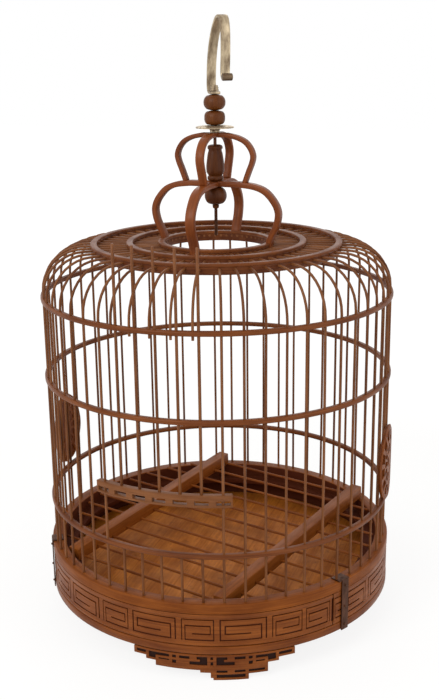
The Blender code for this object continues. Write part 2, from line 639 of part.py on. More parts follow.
def make_rack(material, parts, helpers):
    """The floor rack: two bearers and the rods through them, laid tilted in the base."""
    outer_side = RACK_BEARER_OFFSET + RACK_BEARER_WIDTH / 2
    near = -math.sqrt((SILL_INNER_RADIUS * SECTOR_FIT - RACK_END_GAP) ** 2 - outer_side ** 2)
    bar_inside = BAR_CIRCLE_RADIUS - BAR_DIAMETER / 2 - RACK_END_GAP
    far = math.sqrt(bar_inside ** 2 - outer_side ** 2)
    rest = math.sqrt((SILL_INNER_RADIUS * SECTOR_FIT) ** 2 - outer_side ** 2)
    near_z = SILL_BOTTOM - SILL_WEB_DEPTH + SILL_LIP_HEIGHT + CLEARANCE
    far_z = SILL_TOP + CLEARANCE
    tilt = math.atan2(far_z - near_z, rest - near)
    place = (Matrix.Translation((0.0, 0.0, near_z)) @ Matrix.Rotation(math.radians(RACK_HEADING), 4, "Z")
             @ Matrix.Translation((near, 0.0, 0.0)) @ Matrix.Rotation(-tilt, 4, "Y"))
    bearers = []
    for name, side in (("floor_rack", 1.0), ("floor_rack_bearer", -1.0)):
        bm = bmesh.new()
        middle = Vector(((far - near) / 2, side * RACK_BEARER_OFFSET, RACK_BEARER_HEIGHT / 2))
        add_box(bm, (far - near, RACK_BEARER_WIDTH, RACK_BEARER_HEIGHT), Matrix.Translation(middle))
        bearer = object_from_bmesh(name, bm)
        bearer.matrix_world = place
        bearers.append(bearer)
    rod_reach = SILL_INNER_RADIUS * SECTOR_FIT - RACK_ROD_GAP
    first, last = near + RACK_ROD_INSET, far - RACK_ROD_INSET
    paths = []
    for i in range(RACK_ROD_COUNT):
        along = first + (last - first) * i / (RACK_ROD_COUNT - 1)
        reach = math.sqrt(rod_reach ** 2 - along ** 2)
        paths.append([Vector((along - near, sign * reach, RACK_ROD_RISE)) for sign in (-1.0, 1.0)])
    rods = hide_helper(tube_mesh("floor_rack_rods", paths, RACK_ROD_DIAMETER), helpers)
    rods.matrix_world = place
    hide_helper(bearers[1], helpers)
    boolean(rods, bearers[1], "UNION")
    boolean(bearers[0], rods, "UNION")
    finish_object(bearers[0], material, parts)


def smooth_path(points, pieces):
    """Points along a Catmull-Rom curve through the given ones."""
    out = []
    last = len(points) - 1
    for i in range(last):
        p0, p1 = points[max(i - 1, 0)], points[i]
        p2, p3 = points[i + 1], points[min(i + 2, last)]
        for step in range(pieces):
            t = step / pieces
            out.append(tuple(
                0.5 * (2 * b + (c - a) * t + (2 * a - 5 * b + 4 * c - d) * t * t + (3 * b - a - 3 * c + d) * t ** 3)
                for a, b, c, d in zip(p0, p1, p2, p3)))
    out.append(tuple(points[-1]))
    return out


def rod_hole(name, bottom, top, helpers):
    bm = bmesh.new()
    made = bmesh.ops.create_cone(bm, cap_ends=True, segments=ROD_HOLE_SIDES, radius1=BORE_RADIUS,
                                 radius2=BORE_RADIUS, depth=top - bottom)
    bmesh.ops.translate(bm, verts=made["verts"], vec=(0.0, 0.0, (bottom + top) / 2))
    return hide_helper(object_from_bmesh(name, bm), helpers)


def make_crossed_arches(stem, shares, radius, foot, top, width, thickness, hole, material, parts, helpers):
    """A pair of crossed arches of bent strip, halved into each other where they cross on the axis."""
    rise = top - thickness / 2 - foot
    half = [(r * radius, foot + z * rise) for r, z in shares]
    side = smooth_path(half, 2)
    path = side + [(-x, z) for x, z in reversed(side)]
    middle = top - thickness / 2
    notch = width + 2 * CLEARANCE
    for kind, turn, bottom_z, top_z in (("side", 0.0, middle - thickness, middle + CLEARANCE / 2),
                                        ("front", -90.0, middle - CLEARANCE / 2, middle + thickness)):
        name = f"{stem}_{kind}"
        arch = strip(name, path, width, thickness)
        for vertex in arch.data.vertices:
            vertex.co.z = max(vertex.co.z, foot)
        bm = bmesh.new()
        add_box(bm, (notch, 2 * notch, top_z - bottom_z), Matrix.Translation((0.0, 0.0, (bottom_z + top_z) / 2)))
        halving = hide_helper(object_from_bmesh(name + "_halving", bm), helpers)
        for obj in (arch, halving):
            obj.rotation_euler.z = math.radians(CROWN_TURN + turn)
        boolean(arch, halving, "DIFFERENCE")
        boolean(arch, hole, "DIFFERENCE")
        finish_object(arch, material, parts)


def make_crown(material, parts, helpers):
    """Two crossed arches on the inner top ring and two smaller ones on top of them. Returns both tops."""
    foot = TOP_RING_Z + TOP_RING_HEIGHT + CLEARANCE
    low_top = BAR_TOP_Z + CROWN_LOW_TOP_RISE
    high_top = low_top + CROWN_HIGH_RISE
    hole = rod_hole("crown_rod_hole", foot, high_top + CUT_OVERRUN, helpers)
    make_crossed_arches("crown_arch", CROWN_LOW_SHARES, CROWN_LOW_RADIUS, foot, low_top,
                        CROWN_STRIP_WIDTH, CROWN_STRIP_THICKNESS, hole, material, parts, helpers)
    make_crossed_arches("crown_topknot", CROWN_HIGH_SHARES, CROWN_HIGH_RADIUS, low_top + CLEARANCE, high_top,
                        CROWN_HIGH_STRIP_WIDTH, CROWN_HIGH_STRIP_THICKNESS, hole, material, parts, helpers)
    return low_top, high_top


def bead_profile(bottom, height, radius, steps=6):
    """A bead's outline down its round side and up its bore."""
    middle = bottom + height / 2
    flat = math.acos((BORE_RADIUS + CLEARANCE * 5) / radius)
    points = []
    for i in range(steps + 1):
        angle = flat - 2 * flat * i / steps
        points.append((radius * math.cos(angle), middle + height / 2 * math.sin(angle) / math.sin(flat)))
    return points + [(BORE_RADIUS, bottom), (BORE_RADIUS, bottom + height)]


def make_axis_pieces(low_top, high_top, wood, brass, parts):
    """The rod and what is threaded on it, from the collar under the crown up to the nut. Returns the hook's foot."""
    spindle_bottom = low_top + CLEARANCE
    r, h = SPINDLE_RADIUS, SPINDLE_HEIGHT
    spindle_shares = ((0.45, 1.0), (0.62, 0.93), (0.86, 0.78), (1.0, 0.55), (0.94, 0.30), (0.72, 0.16), (0.80, 0.0))
    profile = [(r * a, spindle_bottom + h * b) for a, b in spindle_shares]
    profile += [(BORE_RADIUS, spindle_bottom), (BORE_RADIUS, spindle_bottom + h)]
    finish_object(turned("crown_spindle", profile, TURNED_STEPS), wood, parts)
    lower_bottom = low_top - CROWN_STRIP_THICKNESS - CLEARANCE - LOWER_BEAD_HEIGHT
    finish_object(turned("lower_bead", bead_profile(lower_bottom, LOWER_BEAD_HEIGHT, LOWER_BEAD_RADIUS),
                         TURNED_STEPS), wood, parts)
    collar_top = lower_bottom - CLEARANCE
    collar = rectangle(BORE_RADIUS, COLLAR_RADIUS, collar_top - COLLAR_HEIGHT, collar_top)
    finish_object(turned("rod_collar", collar, TURNED_STEPS), brass, parts)
    dish_bottom = high_top + CLEARANCE
    dish_top = dish_bottom + DISH_HEIGHT
    rim_top = dish_top - (DISH_HEIGHT - DISH_RIM_THICKNESS) / 4
    rim_bottom = rim_top - DISH_RIM_THICKNESS
    dish = [(DISH_NECK_RADIUS * 2, dish_top), (DISH_RADIUS, rim_top), (DISH_RADIUS, rim_bottom),
            (DISH_NECK_RADIUS, rim_bottom - DISH_RIM_THICKNESS), (DISH_NECK_RADIUS, dish_bottom),
            (BORE_RADIUS, dish_bottom), (BORE_RADIUS, dish_top)]
    finish_object(turned("hook_dish", dish, TURNED_STEPS), brass, parts)
    middle_bottom = dish_top + CLEARANCE
    middle_top = middle_bottom + MIDDLE_BEAD_HEIGHT
    finish_object(turned("middle_bead", bead_profile(middle_bottom, MIDDLE_BEAD_HEIGHT, MIDDLE_BEAD_RADIUS),
                         TURNED_STEPS), wood, parts)
    top_bottom = middle_top + CLEARANCE
    top_top = top_bottom + TOP_BEAD_HEIGHT
    finish_object(turned("top_bead", bead_profile(top_bottom, TOP_BEAD_HEIGHT, TOP_BEAD_RADIUS),
                         TURNED_STEPS), wood, parts)
    hook_bottom = top_top + CLEARANCE
    nut_bottom = hook_bottom + HOOK_THICKNESS + CLEARANCE
    nut_top = nut_bottom + NUT_HEIGHT
    nut = [(NUT_RADIUS * 0.7, nut_top), (NUT_RADIUS, nut_top - NUT_HEIGHT * 0.3), (NUT_RADIUS, nut_bottom),
           (BORE_RADIUS, nut_bottom), (BORE_RADIUS, nut_top)]
    finish_object(turned("hook_nut", nut, TURNED_STEPS), brass, parts)
    ends = [Vector((0.0, 0.0, BAR_TOP_Z + ROD_TAIL)), Vector((0.0, 0.0, nut_top - CLEARANCE))]
    finish_object(tube_mesh("hook_rod", [ends], ROD_DIAMETER), brass, parts)
    return hook_bottom


def make_hook(bottom, material, parts, helpers):
    """The hook: its foot lies on the top bead, with the rod through it, and its tip is rolled up."""
    middle = bottom + HOOK_THICKNESS / 2
    points = [(reach * HOOK_REACH, middle + rise * HOOK_HEIGHT) for reach, rise in HOOK_SHARES]
    hook = strip("hook", smooth_path(points, 2), HOOK_WIDTH, HOOK_THICKNESS)
    for vertex in hook.data.vertices:
        vertex.co.z = max(vertex.co.z, bottom)
    bm = bmesh.new()
    made = bmesh.ops.create_cone(bm, cap_ends=True, segments=ROD_HOLE_SIDES, radius1=HOOK_ROLL_RADIUS,
                                 radius2=HOOK_ROLL_RADIUS, depth=HOOK_WIDTH + 2 * CLEARANCE)
    bmesh.ops.rotate(bm, verts=made["verts"], matrix=Matrix.Rotation(math.radians(90.0), 3, "X"))
    bmesh.ops.translate(bm, verts=made["verts"], vec=(points[-1][0], 0.0, points[-1][1]))
    roll = hide_helper(object_from_bmesh("hook_roll", bm), helpers)
    for obj in (hook, roll):
        obj.rotation_euler.z = math.radians(HOOK_AZIMUTH - 90.0)
    boolean(hook, roll, "UNION")
    boolean(hook, rod_hole("hook_rod_hole", bottom - CUT_OVERRUN, middle + HOOK_THICKNESS, helpers), "DIFFERENCE")
    finish_object(hook, material, parts)


def make_plaques(material, parts):
    """Pierced oval plaques on the outside of the bars, one each side."""
    outer = BAR_CIRCLE_RADIUS + BAR_DIAMETER / 2 + RUNNING_CLEARANCE + PLAQUE_THICKNESS
    middle = SILL_TOP + PLAQUE_RISE + PLAQUE_HEIGHT / 2
    columns = len(PLAQUE_PATTERN[0])

    def place(column, row):
        turn = 2 * math.pi * column / columns
        share = PLAQUE_RING_SHARES[row] / 2
        across = math.degrees(PLAQUE_WIDTH * share * math.sin(turn) / outer)
        return polar(outer, across, middle + PLAQUE_HEIGHT * share * math.cos(turn))

    for name, azimuth in PLAQUE_AZIMUTHS.items():
        plaque = fretwork(name, PLAQUE_PATTERN, place, PLAQUE_THICKNESS, closed=True)
        plaque.rotation_euler.z = math.radians(azimuth)
        finish_object(plaque, material, parts)


def main():
    for obj in list(bpy.data.objects):
        bpy.data.objects.remove(obj)
    parts = bpy.data.collections.new("bamboo_bird_cage")
    helpers = bpy.data.collections.new("cutters")
    for collection in (parts, helpers):
        bpy.context.scene.collection.children.link(collection)
    bamboo = make_material("bamboo", (0.42, 0.16, 0.06), 0.45)
    hoop_bamboo = make_material("hoop_bamboo", (0.45, 0.19, 0.07), 0.45)
    base_wood = make_material("base_bamboo", (0.47, 0.18, 0.06), 0.5)
    board = make_material("tray_bamboo", (0.48, 0.24, 0.09), 0.6)
    bead_wood = make_material("bead_wood", (0.30, 0.10, 0.03), 0.35)
    brass = make_material("brass", (0.45, 0.38, 0.27), 0.4, 0.8)
    make_base(base_wood, parts, helpers)
    make_bands(brass, parts)
    make_feet(base_wood, parts)
    make_drawer(base_wood, board, parts)
    make_runners(board, parts)
    make_rack(bamboo, parts, helpers)
    make_hoops(hoop_bamboo, parts, helpers)
    make_bars(bamboo, parts, helpers)
    make_sill_bars(bamboo, parts)
    make_top_rings(hoop_bamboo, parts)
    make_door(bamboo, parts, helpers)
    make_plaques(base_wood, parts)
    low_top, high_top = make_crown(hoop_bamboo, parts, helpers)
    hook_foot = make_axis_pieces(low_top, high_top, bead_wood, brass, parts)
    make_hook(hook_foot, brass, parts, helpers)
    for obj in parts.objects:
        shade(obj)


main()
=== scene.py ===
"""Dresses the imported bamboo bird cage: varnished bars and hoops, carved base, crown and hook.

Everything is in metres, +Z is up, and the lift door faces -Y. Azimuths are in degrees, measured from
-Y towards +X. Each finished piece sits at the origin with its place in its mesh.
"""
import math
import random
from contextlib import contextmanager

import bpy
from mathutils import Matrix, Vector


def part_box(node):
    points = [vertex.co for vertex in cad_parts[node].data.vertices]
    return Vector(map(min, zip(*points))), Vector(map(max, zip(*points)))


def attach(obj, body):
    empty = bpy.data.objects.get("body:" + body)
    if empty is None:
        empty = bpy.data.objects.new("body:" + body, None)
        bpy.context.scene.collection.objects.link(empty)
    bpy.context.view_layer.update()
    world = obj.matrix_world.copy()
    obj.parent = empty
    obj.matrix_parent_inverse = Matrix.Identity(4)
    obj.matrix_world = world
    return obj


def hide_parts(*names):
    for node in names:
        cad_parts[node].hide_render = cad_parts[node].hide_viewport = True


bl_info = {
    "name": "Bamboo Bird Cage",
    "version": (1, 0, 0),
    "blender": (4, 5, 0),
    "location": "View3D > Sidebar > Bird Cage",
    "description": "Builds the looks of a round bamboo bird cage around its packed frame",
    "category": "Object",
}

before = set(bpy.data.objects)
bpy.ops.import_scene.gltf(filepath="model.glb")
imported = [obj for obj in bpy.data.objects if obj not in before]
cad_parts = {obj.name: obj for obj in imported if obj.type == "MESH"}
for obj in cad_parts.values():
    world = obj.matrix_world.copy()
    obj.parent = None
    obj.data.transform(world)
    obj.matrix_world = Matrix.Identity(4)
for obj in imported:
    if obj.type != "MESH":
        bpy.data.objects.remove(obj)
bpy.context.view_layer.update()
SEED = 7

# The places round the wall
BAR_COUNT = 56
BAR_PITCH = 360.0 / BAR_COUNT
DOOR_PLACES = (-2, -1, 0, 1, 2)

# Heights, radii and azimuths. Those of the base are read from the frame's nodes
SILL_LOW, SILL_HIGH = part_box("sill_hoop")
BASE_LOW, BASE_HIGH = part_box("base_hoop")
SILL_TOP = SILL_HIGH[2]
BASE_RADIUS = SILL_HIGH[0]
WALL_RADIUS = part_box("base_wall")[1][0]
WALL_THICKNESS = 0.0075
BAR_CIRCLE = 0.163
BEND_START = 0.320
BEND_RADIUS = 0.038
BEND_INNER = BAR_CIRCLE - BEND_RADIUS
BAR_TOP = BEND_START + BEND_RADIUS
BAR_INNER_END = 0.0490
BAR_FOOT = SILL_TOP - 0.0045
BAR_PIECE = 0.03
OVER_DOOR_SHIFT = 0.0048
CROWN_TURN = -3.5
HOOK_AZIMUTH = 35.0
FOOT_AZIMUTHS = (15.75, 135.75, -104.25)
BAND_AZIMUTH = 60.0
NAIL_HEIGHTS = (0.0300, 0.0480, 0.0690)
RIM_INNER = 0.1556
RACK_HEADING = 72.9
BORE = 0.0018

# Fretwork patterns: # is wood, . is open
FRET_UNIT = (
    "##############",
    "#............#",
    "#.##########.#",
    "#.#........#.#",
    "#.#.######.#.#",
    "#.#.##.....#.#",
    "#.#.########.#",
    "#.#..........#",
    "##############",
)
FRET_COLUMN_WIDTHS = (0.9, 0.42, 1.0, 0.42, 1.4, 1.4, 2.2, 2.2, 1.4, 1.4, 0.42, 1.0, 0.42, 0.9)
FRET_ROW_ENDS = (0.0604, 0.0597, 0.0585, 0.0539, 0.0523, 0.0461, 0.0447, 0.0401, 0.0386, 0.0374)
FOOT_COLUMN_DEGREES = (1.0, 3.1, 1.0, 2.2, 1.0, 3.4, 1.0, 1.2, 1.0, 2.2, 1.0, 2.2, 1.0, 2.2, 1.0, 0.8,
                       1.0, 2.3, 1.0, 2.2, 1.0, 2.3, 1.0, 1.2, 1.0, 2.8, 1.0, 2.5, 1.0, 4.3, 1.0)
FOOT_ROW_SHARES = (0.081, 0.112, 0.085, 0.058, 0.077, 0.199, 0.096, 0.073, 0.134, 0.085)
FOOT_PATTERN = (
    "###############################",
    "#.#...#.#..#..#.#..#..#.#...#.#",
    "###.#########.###.#########.###",
    "..#.#.#.###...#.#...###.#.#.#..",
    "..#####.###...#.#...###.#####..",
    "....#######################....",
    ".............####..#..#...#....",
    "...............############....",
    "...............##.....#........",
    "................#######........",
)
RAIL_PATTERN = (
    "###############",
    "#.#.#.#.#.#.#.#",
    "###############",
)
FRONT_END = 55.0
# Azimuths where one fret unit ends and the next begins, over the drawer's front
FRONT_FRET_ENDS = (-54.6, -38.3, -22.1, -10.8, 5.4, 16.7, 33.0, 44.3, 54.6)
WALL_END = 55.4
WALL_FRET_START = 60.2
WALL_FRET_SHARES = (11.3, 16.2)
WALL_FRET_PAIRS = 8


def srgb(red, green, blue):
    """A colour in the scene's linear values from the usual 0 to 255 ones."""
    def linear(value):
        value /= 255.0
        return value / 12.92 if value <= 0.04045 else ((value + 0.055) / 1.055) ** 2.4
    return (linear(red), linear(green), linear(blue))


# The sizes and colours that a user may change

def length(name, description, default):
    return bpy.props.FloatProperty(name=name, description=description, default=default, unit="LENGTH")


def count(name, description, default, least, most):
    return bpy.props.IntProperty(name=name, description=description, default=default, min=least, max=most)


def power(name, description, default):
    return bpy.props.FloatProperty(name=name, description=description, default=default, min=0.0)


def tint(name, description, red, green, blue):
    return bpy.props.FloatVectorProperty(
        name=name, description=description, default=srgb(red, green, blue), size=3, subtype="COLOR",
        min=0.0, max=1.0)


class CageSizes(bpy.types.PropertyGroup):
    bar_diameter: length("Bar diameter", "Thickness of a wall bar", 0.0024)
    door_bar_diameter: length("Door bar diameter", "Thickness of a bar of the lift door", 0.0027)
    bar_sides: count("Bar sides", "Sides of a bar's section", 8, 4, 16)
    bow: length("Bow", "How far a hand-cut bar strays at its middle", 0.00035)
    hoop_width: length("Hoop width", "Width of a hoop's section, from inside to outside", 0.0054)
    hoop_steps: count("Hoop steps", "Steps round a hoop", 112, 24, 256)
    top_ring_width: length("Top ring width", "Width of the rings on the top", 0.0060)
    fret_depth: length("Fret depth", "How far the carved fret stands out", 0.0011)
    foot_thickness: length("Foot thickness", "Thickness of a fretwork foot", 0.006)
    strip_width: length("Crown strip width", "Width of the crown's lower strips", 0.0088)
    strip_thickness: length("Crown strip thickness", "Thickness of the crown's lower strips", 0.0052)
    hook_width: length("Hook width", "Width of the hook's flat strip", 0.0085)
    hook_thickness: length("Hook thickness", "Thickness of the hook's flat strip", 0.0026)
    edge: length("Worn edge", "Radius of the edges of carved wood", 0.0004)


class CageColours(bpy.types.PropertyGroup):
    bar: tint("Bars", "Main colour of the bars", 122, 76, 42)
    hoop: tint("Hoops", "Main colour of the hoops and rings", 112, 60, 23)
    base: tint("Base", "Main colour of the base", 130, 70, 22)
    crown: tint("Crown", "Main colour of the crown's strips", 120, 62, 26)
    tray: tint("Tray", "Main colour of the tray board", 190, 114, 38)
    bead: tint("Beads", "Main colour of the turned beads", 100, 54, 16)
    brass: tint("Brass", "Colour of the hook and its fittings", 198, 180, 150)
    band: tint("Metal bands", "Colour of the bands on the base", 90, 54, 35)
    # Painted shade: this colour darkens the fret's sunk ground, the base's inner faces, the sill's inner lip
    # and the feet's back faces; in the tray it colours the real plank joints
    shade_and_joint: tint("Painted shade and joints", "Colour of the dirt and shade in carved grooves", 80, 34, 14)


class CageStage(bpy.types.PropertyGroup):
    key_power: power("Key light", "Power of the main lamp", 13.0)
    fill_power: power("Fill light", "Power of the lamp on the other side", 6.0)
    room: power("Room light", "Strength of the even light all round", 0.62)


def sizes():
    return bpy.context.scene.cage_sizes


def colours():
    return bpy.context.scene.cage_colours


# Places and outlines

def polar(radius, azimuth, z=0.0):
    angle = math.radians(azimuth)
    return Vector((radius * math.sin(angle), -radius * math.cos(angle), z))


def about_z(azimuth):
    return Matrix.Rotation(math.radians(azimuth), 4, "Z")


def on_cylinder(radius, lowest=-1.0):
    """Places an azimuth and a height on a cylinder about the cage's axis."""
    return lambda azimuth, z: polar(radius, azimuth, max(z, lowest))


def spaced(weights, start, end):
    """The ends of cells that share a span by weight."""
    total = sum(weights)
    ends = [start]
    for weight in weights:
        ends.append(ends[-1] + (end - start) * weight / total)
    return ends


def rounded(inner, outer, bottom, top, radius, steps=3):
    """The outline of a block's section with round corners, down its outer side."""
    corners = ((outer, top, 90.0), (outer, bottom, 0.0), (inner, bottom, -90.0), (inner, top, -180.0))
    points = []
    for x, z, start in corners:
        centre_x = x - radius if x == outer else x + radius
        centre_z = z - radius if z == top else z + radius
        for i in range(steps + 1):
            angle = math.radians(start - 90.0 * i / steps)
            points.append((centre_x + radius * math.cos(angle), centre_z + radius * math.sin(angle)))
    return points


def softened(outline, radius):
    """Cuts each corner of an outline into two points."""
    points = []
    for i, corner in enumerate(outline):
        here = Vector(corner)
        for other in (Vector(outline[i - 1]), Vector(outline[(i + 1) % len(outline)])):
            away = other - here
            points.append(tuple(here + away.normalized() * min(radius, away.length * 0.4)))
    return points


def smooth_path(points, pieces=4):
    """Points along a smooth curve through the given ones."""
    out = []
    last = len(points) - 1
    for i in range(last):
        p0, p1 = points[max(i - 1, 0)], points[i]
        p2, p3 = points[i + 1], points[min(i + 2, last)]
        for step in range(pieces):
            t = step / pieces
            out.append(tuple(
                0.5 * (2 * b + (c - a) * t + (2 * a - 5 * b + 4 * c - d) * t * t
                       + (3 * b - a - 3 * c + d) * t ** 3)
                for a, b, c, d in zip(p0, p1, p2, p3)))
    out.append(tuple(points[-1]))
    return out


# Modelling helpers

def take(*objects):
    """Selects these objects alone and makes the first the active one."""
    bpy.ops.object.select_all(action="DESELECT")
    for obj in objects:
        obj.select_set(True)
    bpy.context.view_layer.objects.active = objects[0]


def named(obj, name):
    obj.name = name
    obj.data.name = name
    return obj


def added(name):
    return named(bpy.context.object, name)


def settle(obj):
    take(obj)
    bpy.ops.object.transform_apply(location=True, rotation=True, scale=True)


@contextmanager
def editing():
    """Edit mode on the active object, with all of its mesh selected."""
    bpy.ops.object.mode_set(mode="EDIT")
    bpy.ops.mesh.select_all(action="SELECT")
    yield
    bpy.ops.object.mode_set(mode="OBJECT")


def edit_only(kind, parts, chosen):
    """Goes into edit mode with only the chosen faces or edges of the active object selected."""
    bpy.ops.object.mode_set(mode="EDIT")
    bpy.ops.mesh.select_mode(type=kind)
    bpy.ops.mesh.select_all(action="DESELECT")
    bpy.ops.object.mode_set(mode="OBJECT")
    for part in parts:
        part.select = chosen(part)
    bpy.ops.object.mode_set(mode="EDIT")


def tidy_shell(obj):
    """Merges doubles and turns every face outwards."""
    take(obj)
    with editing():
        bpy.ops.mesh.remove_doubles(threshold=0.000005)
        bpy.ops.mesh.normals_make_consistent(inside=False)


def apply_modifier(obj, kind, **settings):
    take(obj)
    modifier = obj.modifiers.new(kind.lower(), kind)
    for key, value in settings.items():
        setattr(modifier, key, value)
    bpy.ops.object.modifier_apply(modifier=modifier.name)


def bevel(obj, width, segments=2, angle=60.0):
    apply_modifier(obj, "BEVEL", width=width, segments=segments, limit_method="ANGLE",
                   angle_limit=math.radians(angle), use_clamp_overlap=True)


def solidify(obj, thickness, offset=-1.0):
    apply_modifier(obj, "SOLIDIFY", thickness=thickness, offset=offset, use_even_offset=True)


def copied(obj, name, matrix):
    """A copy with its own mesh, moved in its mesh."""
    twin = obj.copy()
    twin.data = obj.data.copy()
    twin.data.transform(matrix)
    bpy.context.scene.collection.objects.link(twin)
    return named(twin, name)


def joined(objects, name):
    take(*objects)
    if len(objects) > 1:
        bpy.ops.object.join()
    return added(name)


def spun(name, outline, steps, start=0.0, end=360.0):
    """A closed outline of radius and height, spun about the cage's axis."""
    whole = end - start >= 360.0
    bpy.ops.mesh.primitive_circle_add(vertices=len(outline), radius=BASE_RADIUS,
                                      fill_type="NOTHING" if whole else "NGON")
    obj = added(name)
    for vertex, (radius, z) in zip(obj.data.vertices, outline):
        vertex.co = polar(radius, start, z)
    with editing():
        bpy.ops.mesh.spin(steps=steps, angle=math.radians(start - end), center=(0, 0, 0), axis=(0, 0, 1))
    tidy_shell(obj)
    return obj


def pattern_sheet(name, pattern, column_ends, row_ends, place):
    """A grid cut to a pattern. Its corners go where place puts a column's and a row's end."""
    rows, columns = len(pattern), len(pattern[0])
    bpy.ops.mesh.primitive_grid_add(x_subdivisions=columns, y_subdivisions=rows, size=2.0)
    obj = added(name)

    def cell(point):
        return (point.x + 1.0) / 2.0 * columns, (1.0 - point.y) / 2.0 * rows

    def is_open(face):
        column, row = cell(face.center)
        return pattern[int(row)][int(column)] != "#"

    edit_only("FACE", obj.data.polygons, is_open)
    bpy.ops.mesh.delete(type="FACE")
    bpy.ops.object.mode_set(mode="OBJECT")
    for vertex in obj.data.vertices:
        column, row = cell(vertex.co)
        vertex.co = place(column_ends[round(column)], row_ends[round(row)])
    return obj


def bent_strip(name, path, width, thickness, edge):
    """A flat strip bent along a path of points in the XZ plane, with worn edges and its grain."""
    last = len(path) - 1
    bpy.ops.mesh.primitive_grid_add(x_subdivisions=last, y_subdivisions=1, size=2.0)
    obj = added(name)
    for vertex in obj.data.vertices:
        x, z = path[round((vertex.co.x + 1.0) / 2.0 * last)]
        vertex.co = (x, vertex.co.y * width / 2, z)
    solidify(obj, thickness, offset=0.0)
    tidy_shell(obj)
    bevel(obj, edge, angle=50.0)
    set_grain(obj, along_path(path))
    return obj


def level_cylinder(name, sides, radius, depth, place):
    """A cylinder that lies along Y."""
    bpy.ops.mesh.primitive_cylinder_add(vertices=sides, radius=radius, depth=depth, location=place,
                                        rotation=(math.radians(90.0), 0.0, 0.0))
    obj = added(name)
    settle(obj)
    return obj


def cut_level(obj, lowest):
    """Flattens what lies below a height."""
    for vertex in obj.data.vertices:
        vertex.co.z = max(vertex.co.z, lowest)


# Grain: how a point lies along the fibres and across them, and each stick's own tone

def ringwise(co):
    """Fibres that run round the cage's axis."""
    return math.atan2(co.x, -co.y) * BAR_CIRCLE, math.hypot(co.x, co.y), co.z


def upright(co):
    return co.z, co.x, co.y


def along_x(co):
    return co.x, co.y, co.z


def along_y(co):
    return co.y, -co.x, co.z


def along_bar(co):
    """Fibres along a bar that stands at azimuth 0, bent or straight."""
    if co.z <= BEND_START:
        return co.z, co.x, -co.y - BAR_CIRCLE
    if co.y < -BEND_INNER:
        angle = math.atan2(co.z - BEND_START, -co.y - BEND_INNER)
        reach = math.hypot(-co.y - BEND_INNER, co.z - BEND_START)
        return BEND_START + BEND_RADIUS * angle, co.x, reach - BEND_RADIUS
    return BEND_START + BEND_RADIUS * math.pi / 2 + BEND_INNER + co.y, co.x, co.z - BAR_TOP


def along_path(path):
    """Fibres that follow a path of points in the XZ plane."""
    points = [Vector((x, 0.0, z)) for x, z in path]
    starts = [0.0]
    for a, b in zip(points, points[1:]):
        starts.append(starts[-1] + (b - a).length)

    def lie(co):
        flat = Vector((co.x, 0.0, co.z))
        best, along, off = None, 0.0, 0.0
        for start, a, b in zip(starts, points, points[1:]):
            run = b - a
            share = max(0.0, min(1.0, (flat - a).dot(run) / run.length_squared))
            away = flat - (a + run * share)
            if best is None or away.length < best:
                best, along = away.length, start + run.length * share
                off = math.copysign(best, run.cross(away).y)
        return along, co.y, off

    return lie


def set_tone(obj, tone):
    obj.data.attributes["tone"].data.foreach_set("value", [tone] * len(obj.data.vertices))


def set_grain(obj, lie, tone=0.0, shift=0.0):
    mesh = obj.data
    for name, kind in (("grain", "FLOAT_VECTOR"), ("tone", "FLOAT")):
        if name in mesh.attributes:
            mesh.attributes.remove(mesh.attributes[name])
        mesh.attributes.new(name, kind, "POINT")
    values = []
    for vertex in mesh.vertices:
        along, across, off = lie(vertex.co)
        values += (along + shift, across, off)
    mesh.attributes["grain"].data.foreach_set("vector", values)
    set_tone(obj, tone)


def vary(obj, chance, spread=1.0):
    """Gives a copied stick its own tone and its own stretch of fibre."""
    tone = chance.uniform(-spread, spread)
    shift = chance.uniform(0.0, 9.0)
    grain = obj.data.attributes["grain"].data
    for point in grain:
        point.vector.x += shift
    set_tone(obj, tone)


def finish_piece(obj, look, nodes, smooth=40.0, body="cage"):
    """Gives a piece its material, hangs it on its body's empty and hides the frame's nodes that it stands
    for.
    """
    settle(obj)
    obj.data.materials.clear()
    obj.data.materials.append(finish_of(look))
    take(obj)
    bpy.ops.object.shade_smooth_by_angle(angle=math.radians(smooth))
    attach(obj, body)
    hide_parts(*nodes)


# Shader nodes and node groups

SURFACE = (("Colour", "Color"), ("Roughness", "Float"), ("Height", "Float"))


def feed(tree, socket, value):
    """Links a socket to another one or sets its value. A colour may leave out its alpha."""
    if isinstance(value, bpy.types.NodeSocket):
        tree.links.new(value, socket)
    elif socket.type == "RGBA" and len(value) == 3:
        socket.default_value = (*value, 1.0)
    else:
        socket.default_value = value


def add_node(tree, kind, inputs=None, **settings):
    """A new shader node. Its inputs, by name or number, take values or other nodes' sockets."""
    made = tree.nodes.new("ShaderNode" + kind)
    for key, value in settings.items():
        setattr(made, key, value)
    for key, value in (inputs or {}).items():
        feed(tree, made.inputs[key], value)
    return made


def maths(tree, operation, first, second, clamp=False):
    return add_node(tree, "Math", {0: first, 1: second}, operation=operation, use_clamp=clamp).outputs[0]


def mix(tree, factor, first, second, blend="MIX"):
    inputs = {0: factor, 6: first, 7: second}
    return add_node(tree, "Mix", inputs, data_type="RGBA", blend_type=blend).outputs[2]


def noise(tree, vector, scale, detail=3.0, roughness=0.6):
    """Noise of one scale, or of three along the vector's axes."""
    if isinstance(scale, tuple):
        vector = add_node(tree, "Mapping", {"Scale": scale, "Vector": vector}).outputs["Vector"]
        scale = 1.0
    inputs = {"Scale": scale, "Detail": detail, "Roughness": roughness, "Vector": vector}
    return add_node(tree, "TexNoise", inputs).outputs["Fac"]


def between(tree, value, low, high):
    """0 up to the low value, 1 from the high one, and a slope between them."""
    made = add_node(tree, "ValToRGB", {"Fac": value})
    made.color_ramp.elements[0].position = low
    made.color_ramp.elements[1].position = high
    return made.outputs["Color"]


def attribute(tree, name, output):
    return add_node(tree, "Attribute", attribute_name=name).outputs[output]


